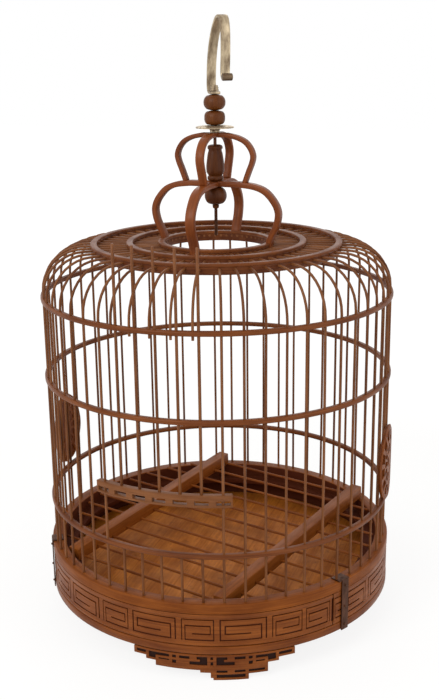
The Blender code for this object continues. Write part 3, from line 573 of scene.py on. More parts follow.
def background_rays(tree):
    """1 for the rays that show the white background: the camera's, and those off metal and gloss."""
    path = add_node(tree, "LightPath").outputs
    seen = path["Is Camera Ray"]
    for kind in ("Is Glossy Ray", "Is Transmission Ray"):
        seen = maths(tree, "MAXIMUM", seen, path[kind])
    return seen


def blend_shaders(tree, share, first, second, output):
    blend = add_node(tree, "MixShader", {0: share, 1: first.outputs[0], 2: second.outputs[0]})
    tree.links.new(blend.outputs[0], output.inputs["Surface"])


def new_group(name, inputs, outputs):
    """A node group, with its inputs to read from and its outputs to feed."""
    group = bpy.data.node_groups.new(name, "ShaderNodeTree")
    for sockets, way in ((inputs, "INPUT"), (outputs, "OUTPUT")):
        for socket, kind in sockets:
            group.interface.new_socket(socket, in_out=way, socket_type="NodeSocket" + kind)
    return group, group.nodes.new("NodeGroupInput").outputs, group.nodes.new("NodeGroupOutput").inputs


def group_bamboo_fibre():
    """Fibre streaks, uneven stain and small dark flecks of split bamboo, along the vector's X."""
    group, given, result = new_group(
        "bamboo fibre", (("Vector", "Vector"),), (("Fibre", "Float"), ("Stain", "Float"), ("Fleck", "Float")))
    vector = given["Vector"]
    fine = noise(group, vector, (30.0, 1500.0, 1500.0), 2.0)
    broad = noise(group, vector, (14.0, 420.0, 420.0))
    fibre = maths(group, "ADD", maths(group, "MULTIPLY", fine, 0.5), maths(group, "MULTIPLY", broad, 0.5))
    stain = noise(group, vector, (22.0, 60.0, 60.0), 4.0, 0.55)
    fleck = noise(group, vector, (160.0, 520.0, 520.0), 2.0, 0.5)
    feed(group, result["Fibre"], between(group, fibre, 0.36, 0.64))
    feed(group, result["Stain"], between(group, stain, 0.36, 0.66))
    feed(group, result["Fleck"], between(group, fleck, 0.66, 0.74))
    return group


def group_varnished_bamboo():
    """Colour, roughness and height of varnished bamboo from its main colour, and a dark colour laid by a
    mask: painted shade in grooves and recesses, or the tray's real plank joints.
    """
    group, given, result = new_group(
        "varnished bamboo", (("Vector", "Vector"), ("Colour", "Color"), ("Shade And Joint Colour", "Color"),
                             ("Tone", "Float"), ("Shade And Joint", "Float"), ("Streaks", "Float")), SURFACE)
    fibre = add_node(group, "Group", {"Vector": given["Vector"]}, node_tree=group_bamboo_fibre()).outputs
    dark = mix(group, 1.0, given["Colour"], (0.52, 0.40, 0.30), "MULTIPLY")
    light = mix(group, 1.0, given["Colour"], (1.30, 1.34, 1.45), "MULTIPLY")
    amount = maths(group, "MULTIPLY", fibre["Fibre"], given["Streaks"])
    amount = maths(group, "ADD", amount, maths(group, "MULTIPLY", fibre["Stain"], 0.45))
    amount = maths(group, "ADD", amount, maths(group, "MULTIPLY", given["Tone"], 0.16), clamp=True)
    base = mix(group, amount, dark, light)
    base = mix(group, maths(group, "MULTIPLY", fibre["Fleck"], 0.55), base, dark)
    rough = maths(group, "SUBTRACT", 0.52, maths(group, "MULTIPLY", fibre["Stain"], 0.16))
    rough = maths(group, "ADD", rough, maths(group, "MULTIPLY", given["Shade And Joint"], 0.3))
    feed(group, result["Colour"], mix(group, given["Shade And Joint"], base, given["Shade And Joint Colour"]))
    feed(group, result["Roughness"], rough)
    feed(group, result["Height"], fibre["Fibre"])
    return group


def group_tarnish():
    """Dull patches, scratches along X and brown spots of old brass."""
    group, given, result = new_group(
        "tarnish", (("Vector", "Vector"), ("Colour", "Color"), ("Spot Colour", "Color"), ("Amount", "Float")),
        SURFACE)
    patch = between(group, noise(group, given["Vector"], (60.0, 160.0, 160.0), 5.0, 0.65), 0.38, 0.68)
    scratch = between(group, noise(group, given["Vector"], (40.0, 2600.0, 2600.0), 1.0), 0.42, 0.62)
    amount = maths(group, "MULTIPLY", patch, given["Amount"])
    rough = maths(group, "ADD", 0.34, maths(group, "MULTIPLY", patch, 0.25))
    rough = maths(group, "ADD", rough, maths(group, "MULTIPLY", scratch, 0.08))
    feed(group, result["Colour"], mix(group, amount, given["Colour"], given["Spot Colour"]))
    feed(group, result["Roughness"], rough)
    feed(group, result["Height"], scratch)
    return group


# Materials

def new_material(name):
    material = bpy.data.materials.new(name)
    material.use_nodes = True
    return material.node_tree, material.node_tree.nodes["Principled BSDF"]


def wire(tree, shader, height, depth, sockets):
    """Feeds the main shader, with a bump of the given depth."""
    bump = add_node(tree, "Bump", {"Distance": depth, "Height": height})
    for key, value in {**sockets, "Normal": bump.outputs["Normal"]}.items():
        feed(tree, shader.inputs[key], value)


def bamboo_material(name, group, colour, streaks=0.6, painted_shade_below=None, painted_shade_share=1.0, coat=0.02,
                    specular=0.17, from_object=False):
    """Varnished bamboo. Faces nearer the axis than the given radius get painted shade: the dark colour, times
    the given share.
    """
    tree, shader = new_material(name)
    shade_and_joint = [part * painted_shade_share for part in colours().shade_and_joint]
    inputs = {"Colour": colour, "Shade And Joint Colour": shade_and_joint, "Streaks": streaks}
    if from_object:
        inputs["Vector"] = add_node(tree, "TexCoord").outputs["Object"]
    else:
        inputs["Vector"] = attribute(tree, "grain", "Vector")
        inputs["Tone"] = attribute(tree, "tone", "Fac")
    if painted_shade_below is not None:
        parts = add_node(tree, "SeparateXYZ", {0: inputs["Vector"]})
        inputs["Shade And Joint"] = maths(tree, "LESS_THAN", parts.outputs["Y"], painted_shade_below)
    body = add_node(tree, "Group", inputs, node_tree=group).outputs
    wire(tree, shader, body["Height"], 0.00006, {
        "Base Color": body["Colour"], "Roughness": body["Roughness"], "Specular IOR Level": specular,
        "Coat Weight": coat, "Coat Roughness": 0.25})


def brass_material(name, group, colour, spot, amount):
    """Old brass. A tone below 0 makes a piece browner."""
    tree, shader = new_material(name)
    inputs = {"Colour": colour, "Spot Colour": spot, "Amount": amount,
              "Vector": attribute(tree, "grain", "Vector")}
    body = add_node(tree, "Group", inputs, node_tree=group).outputs
    dark = maths(tree, "MULTIPLY", attribute(tree, "tone", "Fac"), -0.8, True)
    wire(tree, shader, body["Height"], 0.00003, {
        "Base Color": mix(tree, dark, body["Colour"], spot), "Roughness": body["Roughness"],
        "Metallic": 0.85})


def tray_material(group):
    """A worn board: planks with dark joints, fibre along Y, and old stains."""
    tree, shader = new_material("worn tray board")
    plank_width, first_joint, joint_share = 0.0475, 10.5, 0.016
    place = add_node(tree, "TexCoord").outputs["Object"]
    parts = add_node(tree, "SeparateXYZ", {0: place}).outputs
    swapped = add_node(tree, "CombineXYZ", {"X": parts["Y"], "Y": parts["X"], "Z": parts["Z"]})
    plank = maths(tree, "ADD", maths(tree, "DIVIDE", parts["X"], plank_width), first_joint)
    share = add_node(tree, "Math", {0: plank}, operation="FRACT").outputs[0]
    joint = maths(tree, "LESS_THAN", share, joint_share)
    inputs = {"Colour": colours().tray, "Shade And Joint Colour": colours().shade_and_joint, "Streaks": 0.45,
              "Vector": swapped.outputs[0], "Shade And Joint": maths(tree, "MULTIPLY", joint, 0.25)}
    body = add_node(tree, "Group", inputs, node_tree=group).outputs
    patches = between(tree, noise(tree, place, 26.0, 5.0, 0.62), 0.42, 0.70)
    soil = between(tree, noise(tree, place, 130.0, 3.0, 0.6), 0.60, 0.70)
    stained = mix(tree, maths(tree, "MULTIPLY", patches, 0.42), body["Colour"], srgb(92, 50, 22))
    stained = mix(tree, maths(tree, "MULTIPLY", soil, 0.35), stained, srgb(70, 42, 22))
    wire(tree, shader, body["Height"], 0.00005, {
        "Base Color": stained, "Roughness": maths(tree, "ADD", body["Roughness"], 0.12),
        "Specular IOR Level": 0.18})


def finish_of(name):
    """A finish by name. The first call makes them all."""
    if not bpy.data.materials.get("bar bamboo"):
        shade = colours()
        bamboo, tarnish = group_varnished_bamboo(), group_tarnish()
        bamboo_material("bar bamboo", bamboo, shade.bar, 0.55)
        bamboo_material("hoop bamboo", bamboo, shade.hoop, 0.7)
        bamboo_material("base bamboo", bamboo, shade.base)
        # Painted shade: the sill's inner lip, the fret's sunk ground with the base's inner wall, and the
        # feet's back faces, nearly black there, get the dark colour
        bamboo_material("rim bamboo", bamboo, shade.base, painted_shade_below=RIM_INNER, coat=0.0, specular=0.12)
        bamboo_material("carved base bamboo", bamboo, shade.base, painted_shade_below=WALL_RADIUS - 0.0007)
        bamboo_material("carved foot bamboo", bamboo, shade.base, painted_shade_below=WALL_RADIUS - 0.0009,
                        painted_shade_share=0.2)
        bamboo_material("crown bamboo", bamboo, shade.crown, 0.7, coat=0.07)
        bamboo_material("bead wood", bamboo, shade.bead, 0.4, coat=0.05)
        bamboo_material("runner bamboo", bamboo, shade.tray, 0.5, from_object=True)
        brass_material("hook brass", tarnish, shade.brass, srgb(84, 60, 40), 0.75)
        brass_material("band brass", tarnish, shade.band, srgb(52, 32, 20), 0.9)
        tray_material(bamboo)
    return bpy.data.materials[name]


# The wall of bars

def bar_section(name, diameter, foot):
    """A bar's foot: a filled circle at the front of the bars' circle."""
    bpy.ops.mesh.primitive_circle_add(vertices=sizes().bar_sides, radius=diameter / 2, fill_type="NGON",
                                      location=(0.0, -BAR_CIRCLE, foot))
    obj = added(name)
    settle(obj)
    return obj


def extrude(pieces, inward=0.0, rise=0.0):
    """Extrudes what is selected, in equal pieces."""
    step = (0.0, inward / pieces, rise / pieces)
    for _ in range(pieces):
        bpy.ops.mesh.extrude_region_move(TRANSFORM_OT_translate={"value": step})


def bent_bar(name, foot, diameter):
    """A bar from its foot up the wall, round the shoulder and in over the top."""
    obj = bar_section(name, diameter, foot)
    height = BEND_START - foot
    with editing():
        if height > 0.0:
            extrude(max(1, round(height / BAR_PIECE)), rise=height)
        bpy.ops.mesh.spin(steps=9, angle=math.radians(90.0), center=(0.0, -BEND_INNER, BEND_START),
                          axis=(1, 0, 0))
        extrude(3, inward=BEND_INNER - BAR_INNER_END)
    tidy_shell(obj)
    set_grain(obj, along_bar)
    return obj


def straight_bar(name, foot, top, diameter):
    obj = bar_section(name, diameter, foot)
    with editing():
        extrude(max(2, round((top - foot) / BAR_PIECE)), rise=top - foot)
    tidy_shell(obj)
    bevel(obj, diameter * 0.15, 1)
    set_grain(obj, along_bar)
    return obj


def bow_bar(obj, chance):
    """A slight stray of the straight part, as in a bar split by hand."""
    across = chance.uniform(-1.0, 1.0) * sizes().bow
    deep = chance.uniform(-1.0, 1.0) * sizes().bow
    for vertex in obj.data.vertices:
        share = (vertex.co.z - SILL_TOP) / (BEND_START - SILL_TOP)
        if 0.0 < share < 1.0:
            swell = math.sin(math.pi * share)
            vertex.co.x += across * swell
            vertex.co.y += deep * swell


def stand_bars(model, pieces, chance):
    """Copies a bar to each piece's azimuths and joins the copies. The bar itself goes."""
    for name, azimuths, nodes in pieces:
        bars = []
        for i, azimuth in enumerate(azimuths):
            bar = copied(model, f"{name}_{i}", Matrix.Identity(4))
            bow_bar(bar, chance)
            vary(bar, chance)
            bar.data.transform(about_z(azimuth))
            bars.append(bar)
        finish_piece(joined(bars, name), "bar bamboo", nodes, 50.0)
    bpy.data.objects.remove(model)


def bar_groups():
    """The places of the whole bars, in the frame's groups: fours either side of a middle three."""
    places = [k for k in range(BAR_COUNT) if k not in DOOR_PLACES and k - BAR_COUNT not in DOOR_PLACES]
    ends = [*range(0, 25, 4), *range(27, 52, 4)]
    return [places[first:last] for first, last in zip(ends, ends[1:])]


class CAGE_OT_wall_bars(bpy.types.Operator):
    """Whole bars round the wall, and the short ones over and under the doorway"""
    bl_idname = "cage.wall_bars"
    bl_label = "Wall bars"

    def execute(self, context):
        chance = random.Random(SEED)
        diameter = sizes().bar_diameter
        whole = [(f"split_bars_{number:02d}", [k * BAR_PITCH for k in places], [f"wall_bars_{number:02d}"])
                 for number, places in enumerate(bar_groups(), start=1)]
        stand_bars(bent_bar("bar_model", BAR_FOOT, diameter), whole, chance)
        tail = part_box("bars_over_door")[0][2]
        shift = math.degrees(OVER_DOOR_SHIFT / BAR_CIRCLE)
        over = [("split_bars_over_door", [k * BAR_PITCH - shift for k in DOOR_PLACES], ["bars_over_door"])]
        stand_bars(bent_bar("short_bar_model", tail, diameter), over, chance)
        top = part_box("doorstep_bar_3")[1][2]
        under = [("split_bars_under_door", [k * BAR_PITCH for k in DOOR_PLACES],
                  [f"doorstep_bar_{i}" for i in range(1, 6)])]
        stand_bars(straight_bar("step_bar_model", BAR_FOOT, top, diameter), under, chance)
        return {"FINISHED"}


class CAGE_OT_hoops(bpy.types.Operator):
    """The three hoops that the bars are threaded through"""
    bl_idname = "cage.hoops"
    bl_label = "Hoops"

    def execute(self, context):
        width, steps = sizes().hoop_width, sizes().hoop_steps
        inner = BAR_CIRCLE - width / 2
        plans = (("hoop_low", 0.1, 1.5), ("hoop_mid", 0.4, -0.35), ("hoop_shoulder", 0.1, 0.64))
        for node, tone, shift in plans:
            low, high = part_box(node)
            hoop = spun(node + "_ring", rounded(inner, inner + width, low[2], high[2], 0.0014), steps)
            set_grain(hoop, ringwise, tone, shift)
            finish_piece(hoop, "hoop bamboo", [node], 50.0)
        return {"FINISHED"}


class CAGE_OT_top_rings(bpy.types.Operator):
    """The three rings at the top: each a lit strip on the bars, over a ring toned dark as painted shade,
    which the bars pass through
    """
    bl_idname = "cage.top_rings"
    bl_label = "Top rings"

    def execute(self, context):
        size = sizes()
        drop, recess, lap = 0.0038, 0.0007, 0.0004
        under_low = BAR_TOP - size.bar_diameter / 2 - drop
        insets = (("top_ring_outer", 0.0048), ("top_ring_middle", 0.0022), ("top_ring_inner", 0.0030))
        for number, (node, inset) in enumerate(insets):
            low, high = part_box(node)
            outer = high[0] - inset
            inner = outer - size.top_ring_width
            upper = spun(node + "_strip", rounded(inner, outer, low[2], high[2], 0.0009), size.hoop_steps)
            set_grain(upper, ringwise, 0.2 * number - 0.3, number * 0.37)
            # Painted shade: the ring under each strip is toned dark to stand for the shade below the lit
            # strip
            section = rounded(inner + recess, outer - recess, under_low, low[2] + lap, 0.0006)
            under = spun(node + "_under", section, size.hoop_steps)
            set_grain(under, ringwise, -2.5, number * 0.23)
            ring = joined([upper, under], node + "_strip")
            finish_piece(ring, "hoop bamboo", [node], 50.0)
        return {"FINISHED"}


# The base

def wall_outline(bottom, top):
    """The base wall's section: a plain strip, the sunk ground of the fret and a plain strip below."""
    outer, ground, inner = WALL_RADIUS, WALL_RADIUS - sizes().fret_depth, WALL_RADIUS - WALL_THICKNESS
    first, last, slope, chamfer = FRET_ROW_ENDS[0], FRET_ROW_ENDS[-1], 0.0003, 0.0006
    return softened([
        (outer, top), (outer, first), (ground, first - slope), (ground, last + slope), (outer, last),
        (outer, bottom + chamfer), (outer - chamfer, bottom), (inner, bottom), (inner, top),
    ], 0.0002)


def fret_unit(name, start, end, way):
    """One unit of the key fret, raised from the wall between two azimuths. A way of -1 mirrors it."""
    pattern = [row[::way] for row in FRET_UNIT]
    columns = spaced(FRET_COLUMN_WIDTHS[::way], start, end)
    sunk, root = 0.00005, 0.0003
    sheet = pattern_sheet(name, pattern, columns, FRET_ROW_ENDS, on_cylinder(WALL_RADIUS - sunk))
    solidify(sheet, sizes().fret_depth + root)
    return sheet


def fretted_wall(name, node, start, end, steps, ends):
    """A node's wall between two azimuths, with units of the fret between the given ends."""
    low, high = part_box(node)
    wall = spun(name + "_wall", wall_outline(low[2], high[2]), steps, start, end)
    units = [fret_unit(f"{name}_fret_{i}", a, b, -1 if i % 2 else 1)
             for i, (a, b) in enumerate(zip(ends, ends[1:]))]
    obj = joined([wall, joined(units, name + "_fret")], name)
    set_grain(obj, ringwise)
    return obj


class CAGE_OT_base(bpy.types.Operator):
    """The base: sill with its lip, carved wall, bottom hoop and the metal bands"""
    bl_idname = "cage.base"
    bl_label = "Base"

    def execute(self, context):
        steps = sizes().hoop_steps
        web, lip, ledge, crest = 0.1583, 0.1440, 0.1555, 0.1562
        under, lip_top = 0.0645, SILL_LOW[2] + 0.0048
        sill = spun("sill_rim", softened([
            (BASE_RADIUS - 0.0006, SILL_TOP), (BASE_RADIUS, SILL_TOP - 0.0008), (BASE_RADIUS, under),
            (web, under), (web, SILL_LOW[2]), (lip, SILL_LOW[2]), (lip, lip_top), (ledge, lip_top),
            (ledge, SILL_TOP - 0.0004), (crest, SILL_TOP),
        ], 0.0005), steps)
        set_grain(sill, ringwise, 0.1)
        finish_piece(sill, "rim bamboo", ["sill_hoop"])
        bottom, top, inner = BASE_LOW[2], BASE_HIGH[2], 0.146
        ring = spun("bottom_rim", softened([
            (BASE_RADIUS - 0.0005, top), (BASE_RADIUS, top - 0.0006), (BASE_RADIUS, bottom + 0.0008),
            (BASE_RADIUS - 0.0012, bottom), (inner, bottom), (inner, top),
        ], 0.0004), steps)
        set_grain(ring, ringwise, -0.8, 0.6)
        finish_piece(ring, "base bamboo", ["base_hoop"])
        units = spaced(WALL_FRET_SHARES * WALL_FRET_PAIRS, WALL_FRET_START, 360.0 - WALL_FRET_START)
        margin = 0.2
        ends = [WALL_END + margin, *units, 360.0 - WALL_END - margin]
        wall = fretted_wall("carved_wall", "base_wall", WALL_END, 360.0 - WALL_END, 84, ends)
        finish_piece(wall, "carved base bamboo", ["base_wall"])
        self.make_bands()
        return {"FINISHED"}

    def make_bands(self):
        """Bronze plates folded over the rim, each with a flap on it and three round-headed nails."""
        half, flap_left, flap_right = 1.45, 2.6, 1.9
        outer, sheet, fold, flap_reach = BASE_RADIUS + 0.0013, 0.001, 0.0036, 0.0110
        for node, azimuth in (("metal_band_left", -BAND_AZIMUTH), ("metal_band_right", BAND_AZIMUTH)):
            low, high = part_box(node)
            bottom, top = low[2], high[2]
            plate = spun(node + "_plate", [
                (outer - 0.0003, top), (outer, top - 0.0003), (outer, bottom), (outer - sheet, bottom),
                (outer - sheet, top - sheet), (outer - fold, top - sheet), (outer - fold, top),
            ], 6, azimuth - half, azimuth + half)
            section = rounded(outer - flap_reach, outer - 0.0002, top - 0.0012, top - 0.0002, 0.0004, 2)
            pieces = [plate, spun(node + "_flap", section, 6, azimuth - flap_left, azimuth + flap_right)]
            for height in NAIL_HEIGHTS:
                bpy.ops.mesh.primitive_uv_sphere_add(segments=12, ring_count=6, radius=0.0012,
                                                     location=polar(outer, azimuth, height))
                nail = added(f"{node}_nail_{len(pieces)}")
                settle(nail)
                pieces.append(nail)
            band = joined(pieces, node + "_plate")
            set_grain(band, upright)
            finish_piece(band, "band brass", [node])


def filled(row):
    """A pattern's row with its openings closed."""
    inside = row.strip(".")
    return row.replace(inside, "#" * len(inside))


class CAGE_OT_feet(bpy.types.Operator):
    """The fretwork feet under the base, each on a thin sheet painted near-black as the shade seen through its
    openings
    """
    bl_idname = "cage.feet"
    bl_label = "Feet"

    def execute(self, context):
        half = sum(FOOT_COLUMN_DEGREES) / 2
        columns = spaced(FOOT_COLUMN_DEGREES, -half, half)
        rows = spaced(FOOT_ROW_SHARES, BASE_LOW[2] - 0.0003, 0.0)
        thickness = sizes().foot_thickness
        model = pattern_sheet("foot_model", FOOT_PATTERN, columns, rows, on_cylinder(WALL_RADIUS))
        solidify(model, thickness)
        tidy_shell(model)
        bevel(model, sizes().edge)
        set_grain(model, ringwise, -0.5, 0.7)
        # Painted shade: a sheet behind the fret, which the material paints near-black, stands for the shade
        # seen through the openings
        shade_sheet = pattern_sheet("foot_painted_shade_sheet", [filled(row) for row in FOOT_PATTERN], columns, rows,
                              on_cylinder(WALL_RADIUS - thickness * 0.2, lowest=0.0006))
        solidify(shade_sheet, thickness * 0.5)
        set_grain(shade_sheet, ringwise, -3.0)
        model = joined([model, shade_sheet], "foot_model")
        for number, azimuth in enumerate(FOOT_AZIMUTHS, start=1):
            foot = copied(model, f"carved_foot_{number}", about_z(azimuth))
            finish_piece(foot, "carved foot bamboo", [f"fret_foot_{number}"])
        bpy.data.objects.remove(model)
        return {"FINISHED"}


class CAGE_OT_drawer(bpy.types.Operator):
    """The drawer: its carved front, its board, and the boards that guide it"""
    bl_idname = "cage.drawer"
    bl_label = "Drawer"

    def execute(self, context):
        front = fretted_wall("carved_drawer_front", "drawer_front", -FRONT_END, FRONT_END, 38,
                             FRONT_FRET_ENDS)
        finish_piece(front, "carved base bamboo", ["drawer_front"], body="drawer")
        for node, look in (("tray_board", "worn tray board"), ("tray_runner_left", "runner bamboo"),
                           ("tray_runner_right", "runner bamboo")):
            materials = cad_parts[node].data.materials
            materials.clear()
            materials.append(finish_of(look))
        return {"FINISHED"}


class CAGE_OT_rack(bpy.types.Operator):
    """The floor rack that lies tilted in the base: two bearers and the rods through them"""
    bl_idname = "cage.rack"
    bl_label = "Floor rack"

    def execute(self, context):
        # Along the heading: the bearers' ends, and where the rack rests on the far rim
        near, far, rest = -0.12393, 0.13183, 0.12543
        near_z, rest_z = 0.0601, 0.0743
        tilt = math.atan2(rest_z - near_z, rest - near)
        place = (Matrix.Translation((0.0, 0.0, near_z)) @ about_z(RACK_HEADING)
                 @ Matrix.Translation((near, 0.0, 0.0)) @ Matrix.Rotation(-tilt, 4, "Y"))
        span, width, height, apart = far - near, 0.012, 0.013, 0.0855
        pieces = []
        for side in (-1.0, 1.0):
            bpy.ops.mesh.primitive_cube_add(size=1.0, location=(span / 2, side * apart, height / 2))
            bearer = added(f"bearer_{len(pieces)}")
            bearer.scale = (span, width, height)
            settle(bearer)
            bevel(bearer, 0.0009)
            set_grain(bearer, along_x, 1.2, side * 0.31 + 1.0)
            pieces.append(bearer)
        chance = random.Random(SEED + 1)
        # The rods' ends keep within a circle about the cage's axis
        rods, inset, within = 12, 0.006, 0.15345
        last = span - inset
        for i in range(rods):
            along = inset + (last - inset) * i / (rods - 1)
            reach = math.sqrt(within ** 2 - (along + near) ** 2)
            rod = level_cylinder(f"rack_rod_{i}", 8, 0.00125, 2 * reach, (along, 0.0, 0.0035))
            bevel(rod, 0.0004, 1)
            set_grain(rod, along_y)
            vary(rod, chance, 0.8)
            pieces.append(rod)
        rack = joined(pieces, "loose_floor_rack")
        rack.data.transform(place)
        finish_piece(rack, "base bamboo", ["floor_rack"])
        return {"FINISHED"}


class CAGE_OT_door(bpy.types.Operator):
    """The lift door: its pierced rail and its bars"""
    bl_idname = "cage.door"
    bl_label = "Lift door"

    def execute(self, context):
        half, slot_half, thickness = 22.0, 2.1, 0.006
        ends = [-half]
        for i in range(-3, 4):
            ends += [i * BAR_PITCH - slot_half, i * BAR_PITCH + slot_half]
        ends.append(half)
        low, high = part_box("door_rail")
        rows = [high[2], low[2] + 0.006, low[2] + 0.002, low[2]]
        outer = BAR_CIRCLE + thickness / 2
        rail = pattern_sheet("pierced_rail", RAIL_PATTERN, ends, rows, on_cylinder(outer))
        self.arch(rail, outer)
        solidify(rail, thickness)
        tidy_shell(rail)
        bevel(rail, 0.0006)
        set_grain(rail, ringwise, 0.9, 2.2)
        finish_piece(rail, "bar bamboo", ["door_rail"], body="door")
        chance = random.Random(SEED + 2)
        for number, k in enumerate(DOOR_PLACES, start=1):
            low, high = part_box(f"door_bar_{number}")
            bar = straight_bar(f"door_stick_{number}", low[2], high[2], sizes().door_bar_diameter)
            vary(bar, chance, 0.7)
            bar.data.transform(about_z(k * BAR_PITCH))
            finish_piece(bar, "bar bamboo", [f"door_bar_{number}"], 50.0, "door")
        return {"FINISHED"}

    def arch(self, rail, outer):
        """Halves the rail's long faces twice, so that they follow the bars' circle."""
        def is_level(edge):
            first, second = (rail.data.vertices[i].co for i in edge.vertices)
            return abs(first.z - second.z) < 0.00001

        for _ in range(2):
            take(rail)
            edit_only("EDGE", rail.data.edges, is_level)
            bpy.ops.mesh.subdivide(number_cuts=1)
            bpy.ops.object.mode_set(mode="OBJECT")
            for vertex in rail.data.vertices:
                azimuth = math.degrees(math.atan2(vertex.co.x, -vertex.co.y))
                vertex.co = polar(outer, azimuth, vertex.co.z)


class CAGE_OT_plaques(bpy.types.Operator):
    """The carved oval plaques on both sides"""
    bl_idname = "cage.plaques"
    bl_label = "Side plaques"

    def execute(self, context):
        low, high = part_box("side_plaque_right")
        middle, half_height = (low[2] + high[2]) / 2, (high[2] - low[2]) / 2
        half_width = (high[1] - low[1]) / 2
        outer = high[0] - 0.0004
        petals, around, scallop = 12, 72, 0.022
        ring = "#" * around
        pattern = (ring, ring, "##...." * petals, "##...." * petals, ring, "...##." * petals, ring)
        # How far out each ring of corners lies, as a share, and how far it is lifted
        lifts = {1.0: -0.0010, 0.93: 0.0, 0.86: -0.0008, 0.74: -0.0008, 0.60: 0.0, 0.50: -0.0004,
                 0.28: 0.0, 0.13: -0.0006}

        def place(turn, share, lift=None):
            bay = (scallop if share == 1.0 else 0.0) * (1.0 - abs(math.sin(turn * petals / 4)))
            reach = share * (1.0 - bay)
            across = math.degrees(half_width * reach * math.sin(turn) / outer)
            radius = outer + (lifts[share] if lift is None else lift)
            return polar(radius, across, middle + half_height * reach * math.cos(turn))

        turns = [2 * math.pi * i / around for i in range(around + 1)]
        model = pattern_sheet("plaque_model", pattern, turns, tuple(lifts), place)
        tidy_shell(model)
        solidify(model, 0.0034)
        bevel(model, 0.0003, 1)
        set_grain(model, upright, -0.6)
        ground = pattern_sheet("plaque_ground", (ring, ring), turns, (0.97, 0.5, 0.02),
                               lambda turn, share: place(turn, share, -0.0018))
        tidy_shell(ground)
        solidify(ground, 0.0014)
        set_grain(ground, upright, -3.0)
        model = joined([model, ground], "plaque_model")
        for node, azimuth in (("side_plaque_left", -90.0), ("side_plaque_right", 90.0)):
            plaque = copied(model, node + "_carving", about_z(azimuth))
            finish_piece(plaque, "base bamboo", [node])
        bpy.data.objects.remove(model)
        return {"FINISHED"}


# The crown, the hanger and the hook

CROWN_LOW = ((0.0524, 0.3566), (0.0526, 0.3625), (0.0557, 0.3702), (0.0592, 0.3774), (0.0613, 0.3863),
             (0.0607, 0.3930), (0.0570, 0.4003), (0.0493, 0.4086), (0.0388, 0.4130), (0.0246, 0.4148))
CROWN_HIGH = ((0.0290, 0.4163), (0.0329, 0.4269), (0.0361, 0.4351), (0.0371, 0.4413), (0.0346, 0.4480),
              (0.0295, 0.4537), (0.0215, 0.4574), (0.0119, 0.4593))
# The hook's path from its foot on the top bead: how far out, and how far above the foot
HOOK_PATH = ((0.0053, 0.0), (-0.0035, 0.0), (-0.0072, 0.0008), (-0.0092, 0.0043), (-0.0092, 0.0118),
             (-0.0076, 0.0240), (-0.0046, 0.0348), (0.0006, 0.0460), (0.0085, 0.0562), (0.0168, 0.0634),
             (0.0249, 0.0655), (0.0315, 0.0626), (0.0345, 0.0539), (0.0350, 0.0440), (0.0345, 0.0322),
             (0.0333, 0.0220), (0.0333, 0.0164), (0.0354, 0.0137), (0.0389, 0.0146))
# The spindle's radius and height down its outer side, as shares
SPINDLE = ((0.52, 1.0), (0.70, 0.985), (0.82, 0.96), (0.84, 0.90), (0.72, 0.86), (0.74, 0.82),
           (0.82, 0.76), (0.88, 0.66), (0.94, 0.55), (0.99, 0.43), (1.0, 0.33), (0.97, 0.24),
           (0.84, 0.18), (0.74, 0.15), (0.86, 0.12), (0.90, 0.07), (0.84, 0.03), (0.70, 0.0))


class CAGE_OT_crown(bpy.types.Operator):
    """The crown: two crossed strips on the inner ring and two small ones on top of them"""
    bl_idname = "cage.crown"
    bl_label = "Crown"

    def execute(self, context):
        low = (CROWN_LOW, sizes().strip_width, sizes().strip_thickness)
        high = (CROWN_HIGH, 0.0078, 0.0042)
        # A strip is lowered all the way from this height over its feet
        full_height = 0.02
        plans = (("crown_arch_side", low, 0.0, 0.0, 0.0), ("crown_arch_front", low, -90.0, 0.0003, 0.8),
                 ("crown_topknot_side", high, 0.0, 0.0003, -0.2),
                 ("crown_topknot_front", high, -90.0, 0.0, 0.9))
        for node, (half_path, width, thickness), turn, lower, tone in plans:
            half, foot = smooth_path(half_path), half_path[0][1]
            path = half + [(-x, z) for x, z in reversed(half)]
            path = [(x, z - lower * min(1.0, (z - foot) / full_height)) for x, z in path]
            arch = bent_strip(node + "_strip", path, width, thickness, 0.0010)
            cut_level(arch, foot)
            arch.data.transform(about_z(CROWN_TURN + turn))
            set_tone(arch, tone)
            finish_piece(arch, "crown bamboo", [node], 50.0)
        return {"FINISHED"}


def extent(node):
    """A turned node's bottom, top and radius."""
    low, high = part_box(node)
    return low[2], high[2], high[0]


def bored(outline, bottom, top):
    """Closes a turned piece's outline along its bore."""
    return outline + [(BORE, bottom), (BORE, top)]


def bead_outline(bottom, top, radius, fullness, flat=0.36, steps=16):
    """A bead with a small flat round its bore at both ends. More fullness makes it squarer."""
    middle, half = (bottom + top) / 2, (top - bottom) / 2
    points = []
    for i in range(steps + 1):
        across = -1.0 + 2.0 * i / steps
        swell = (1.0 - abs(across) ** fullness) ** (1.0 / fullness)
        points.append((radius * (flat + (1.0 - flat) * swell), middle - half * across))
    return bored(points, bottom, top)


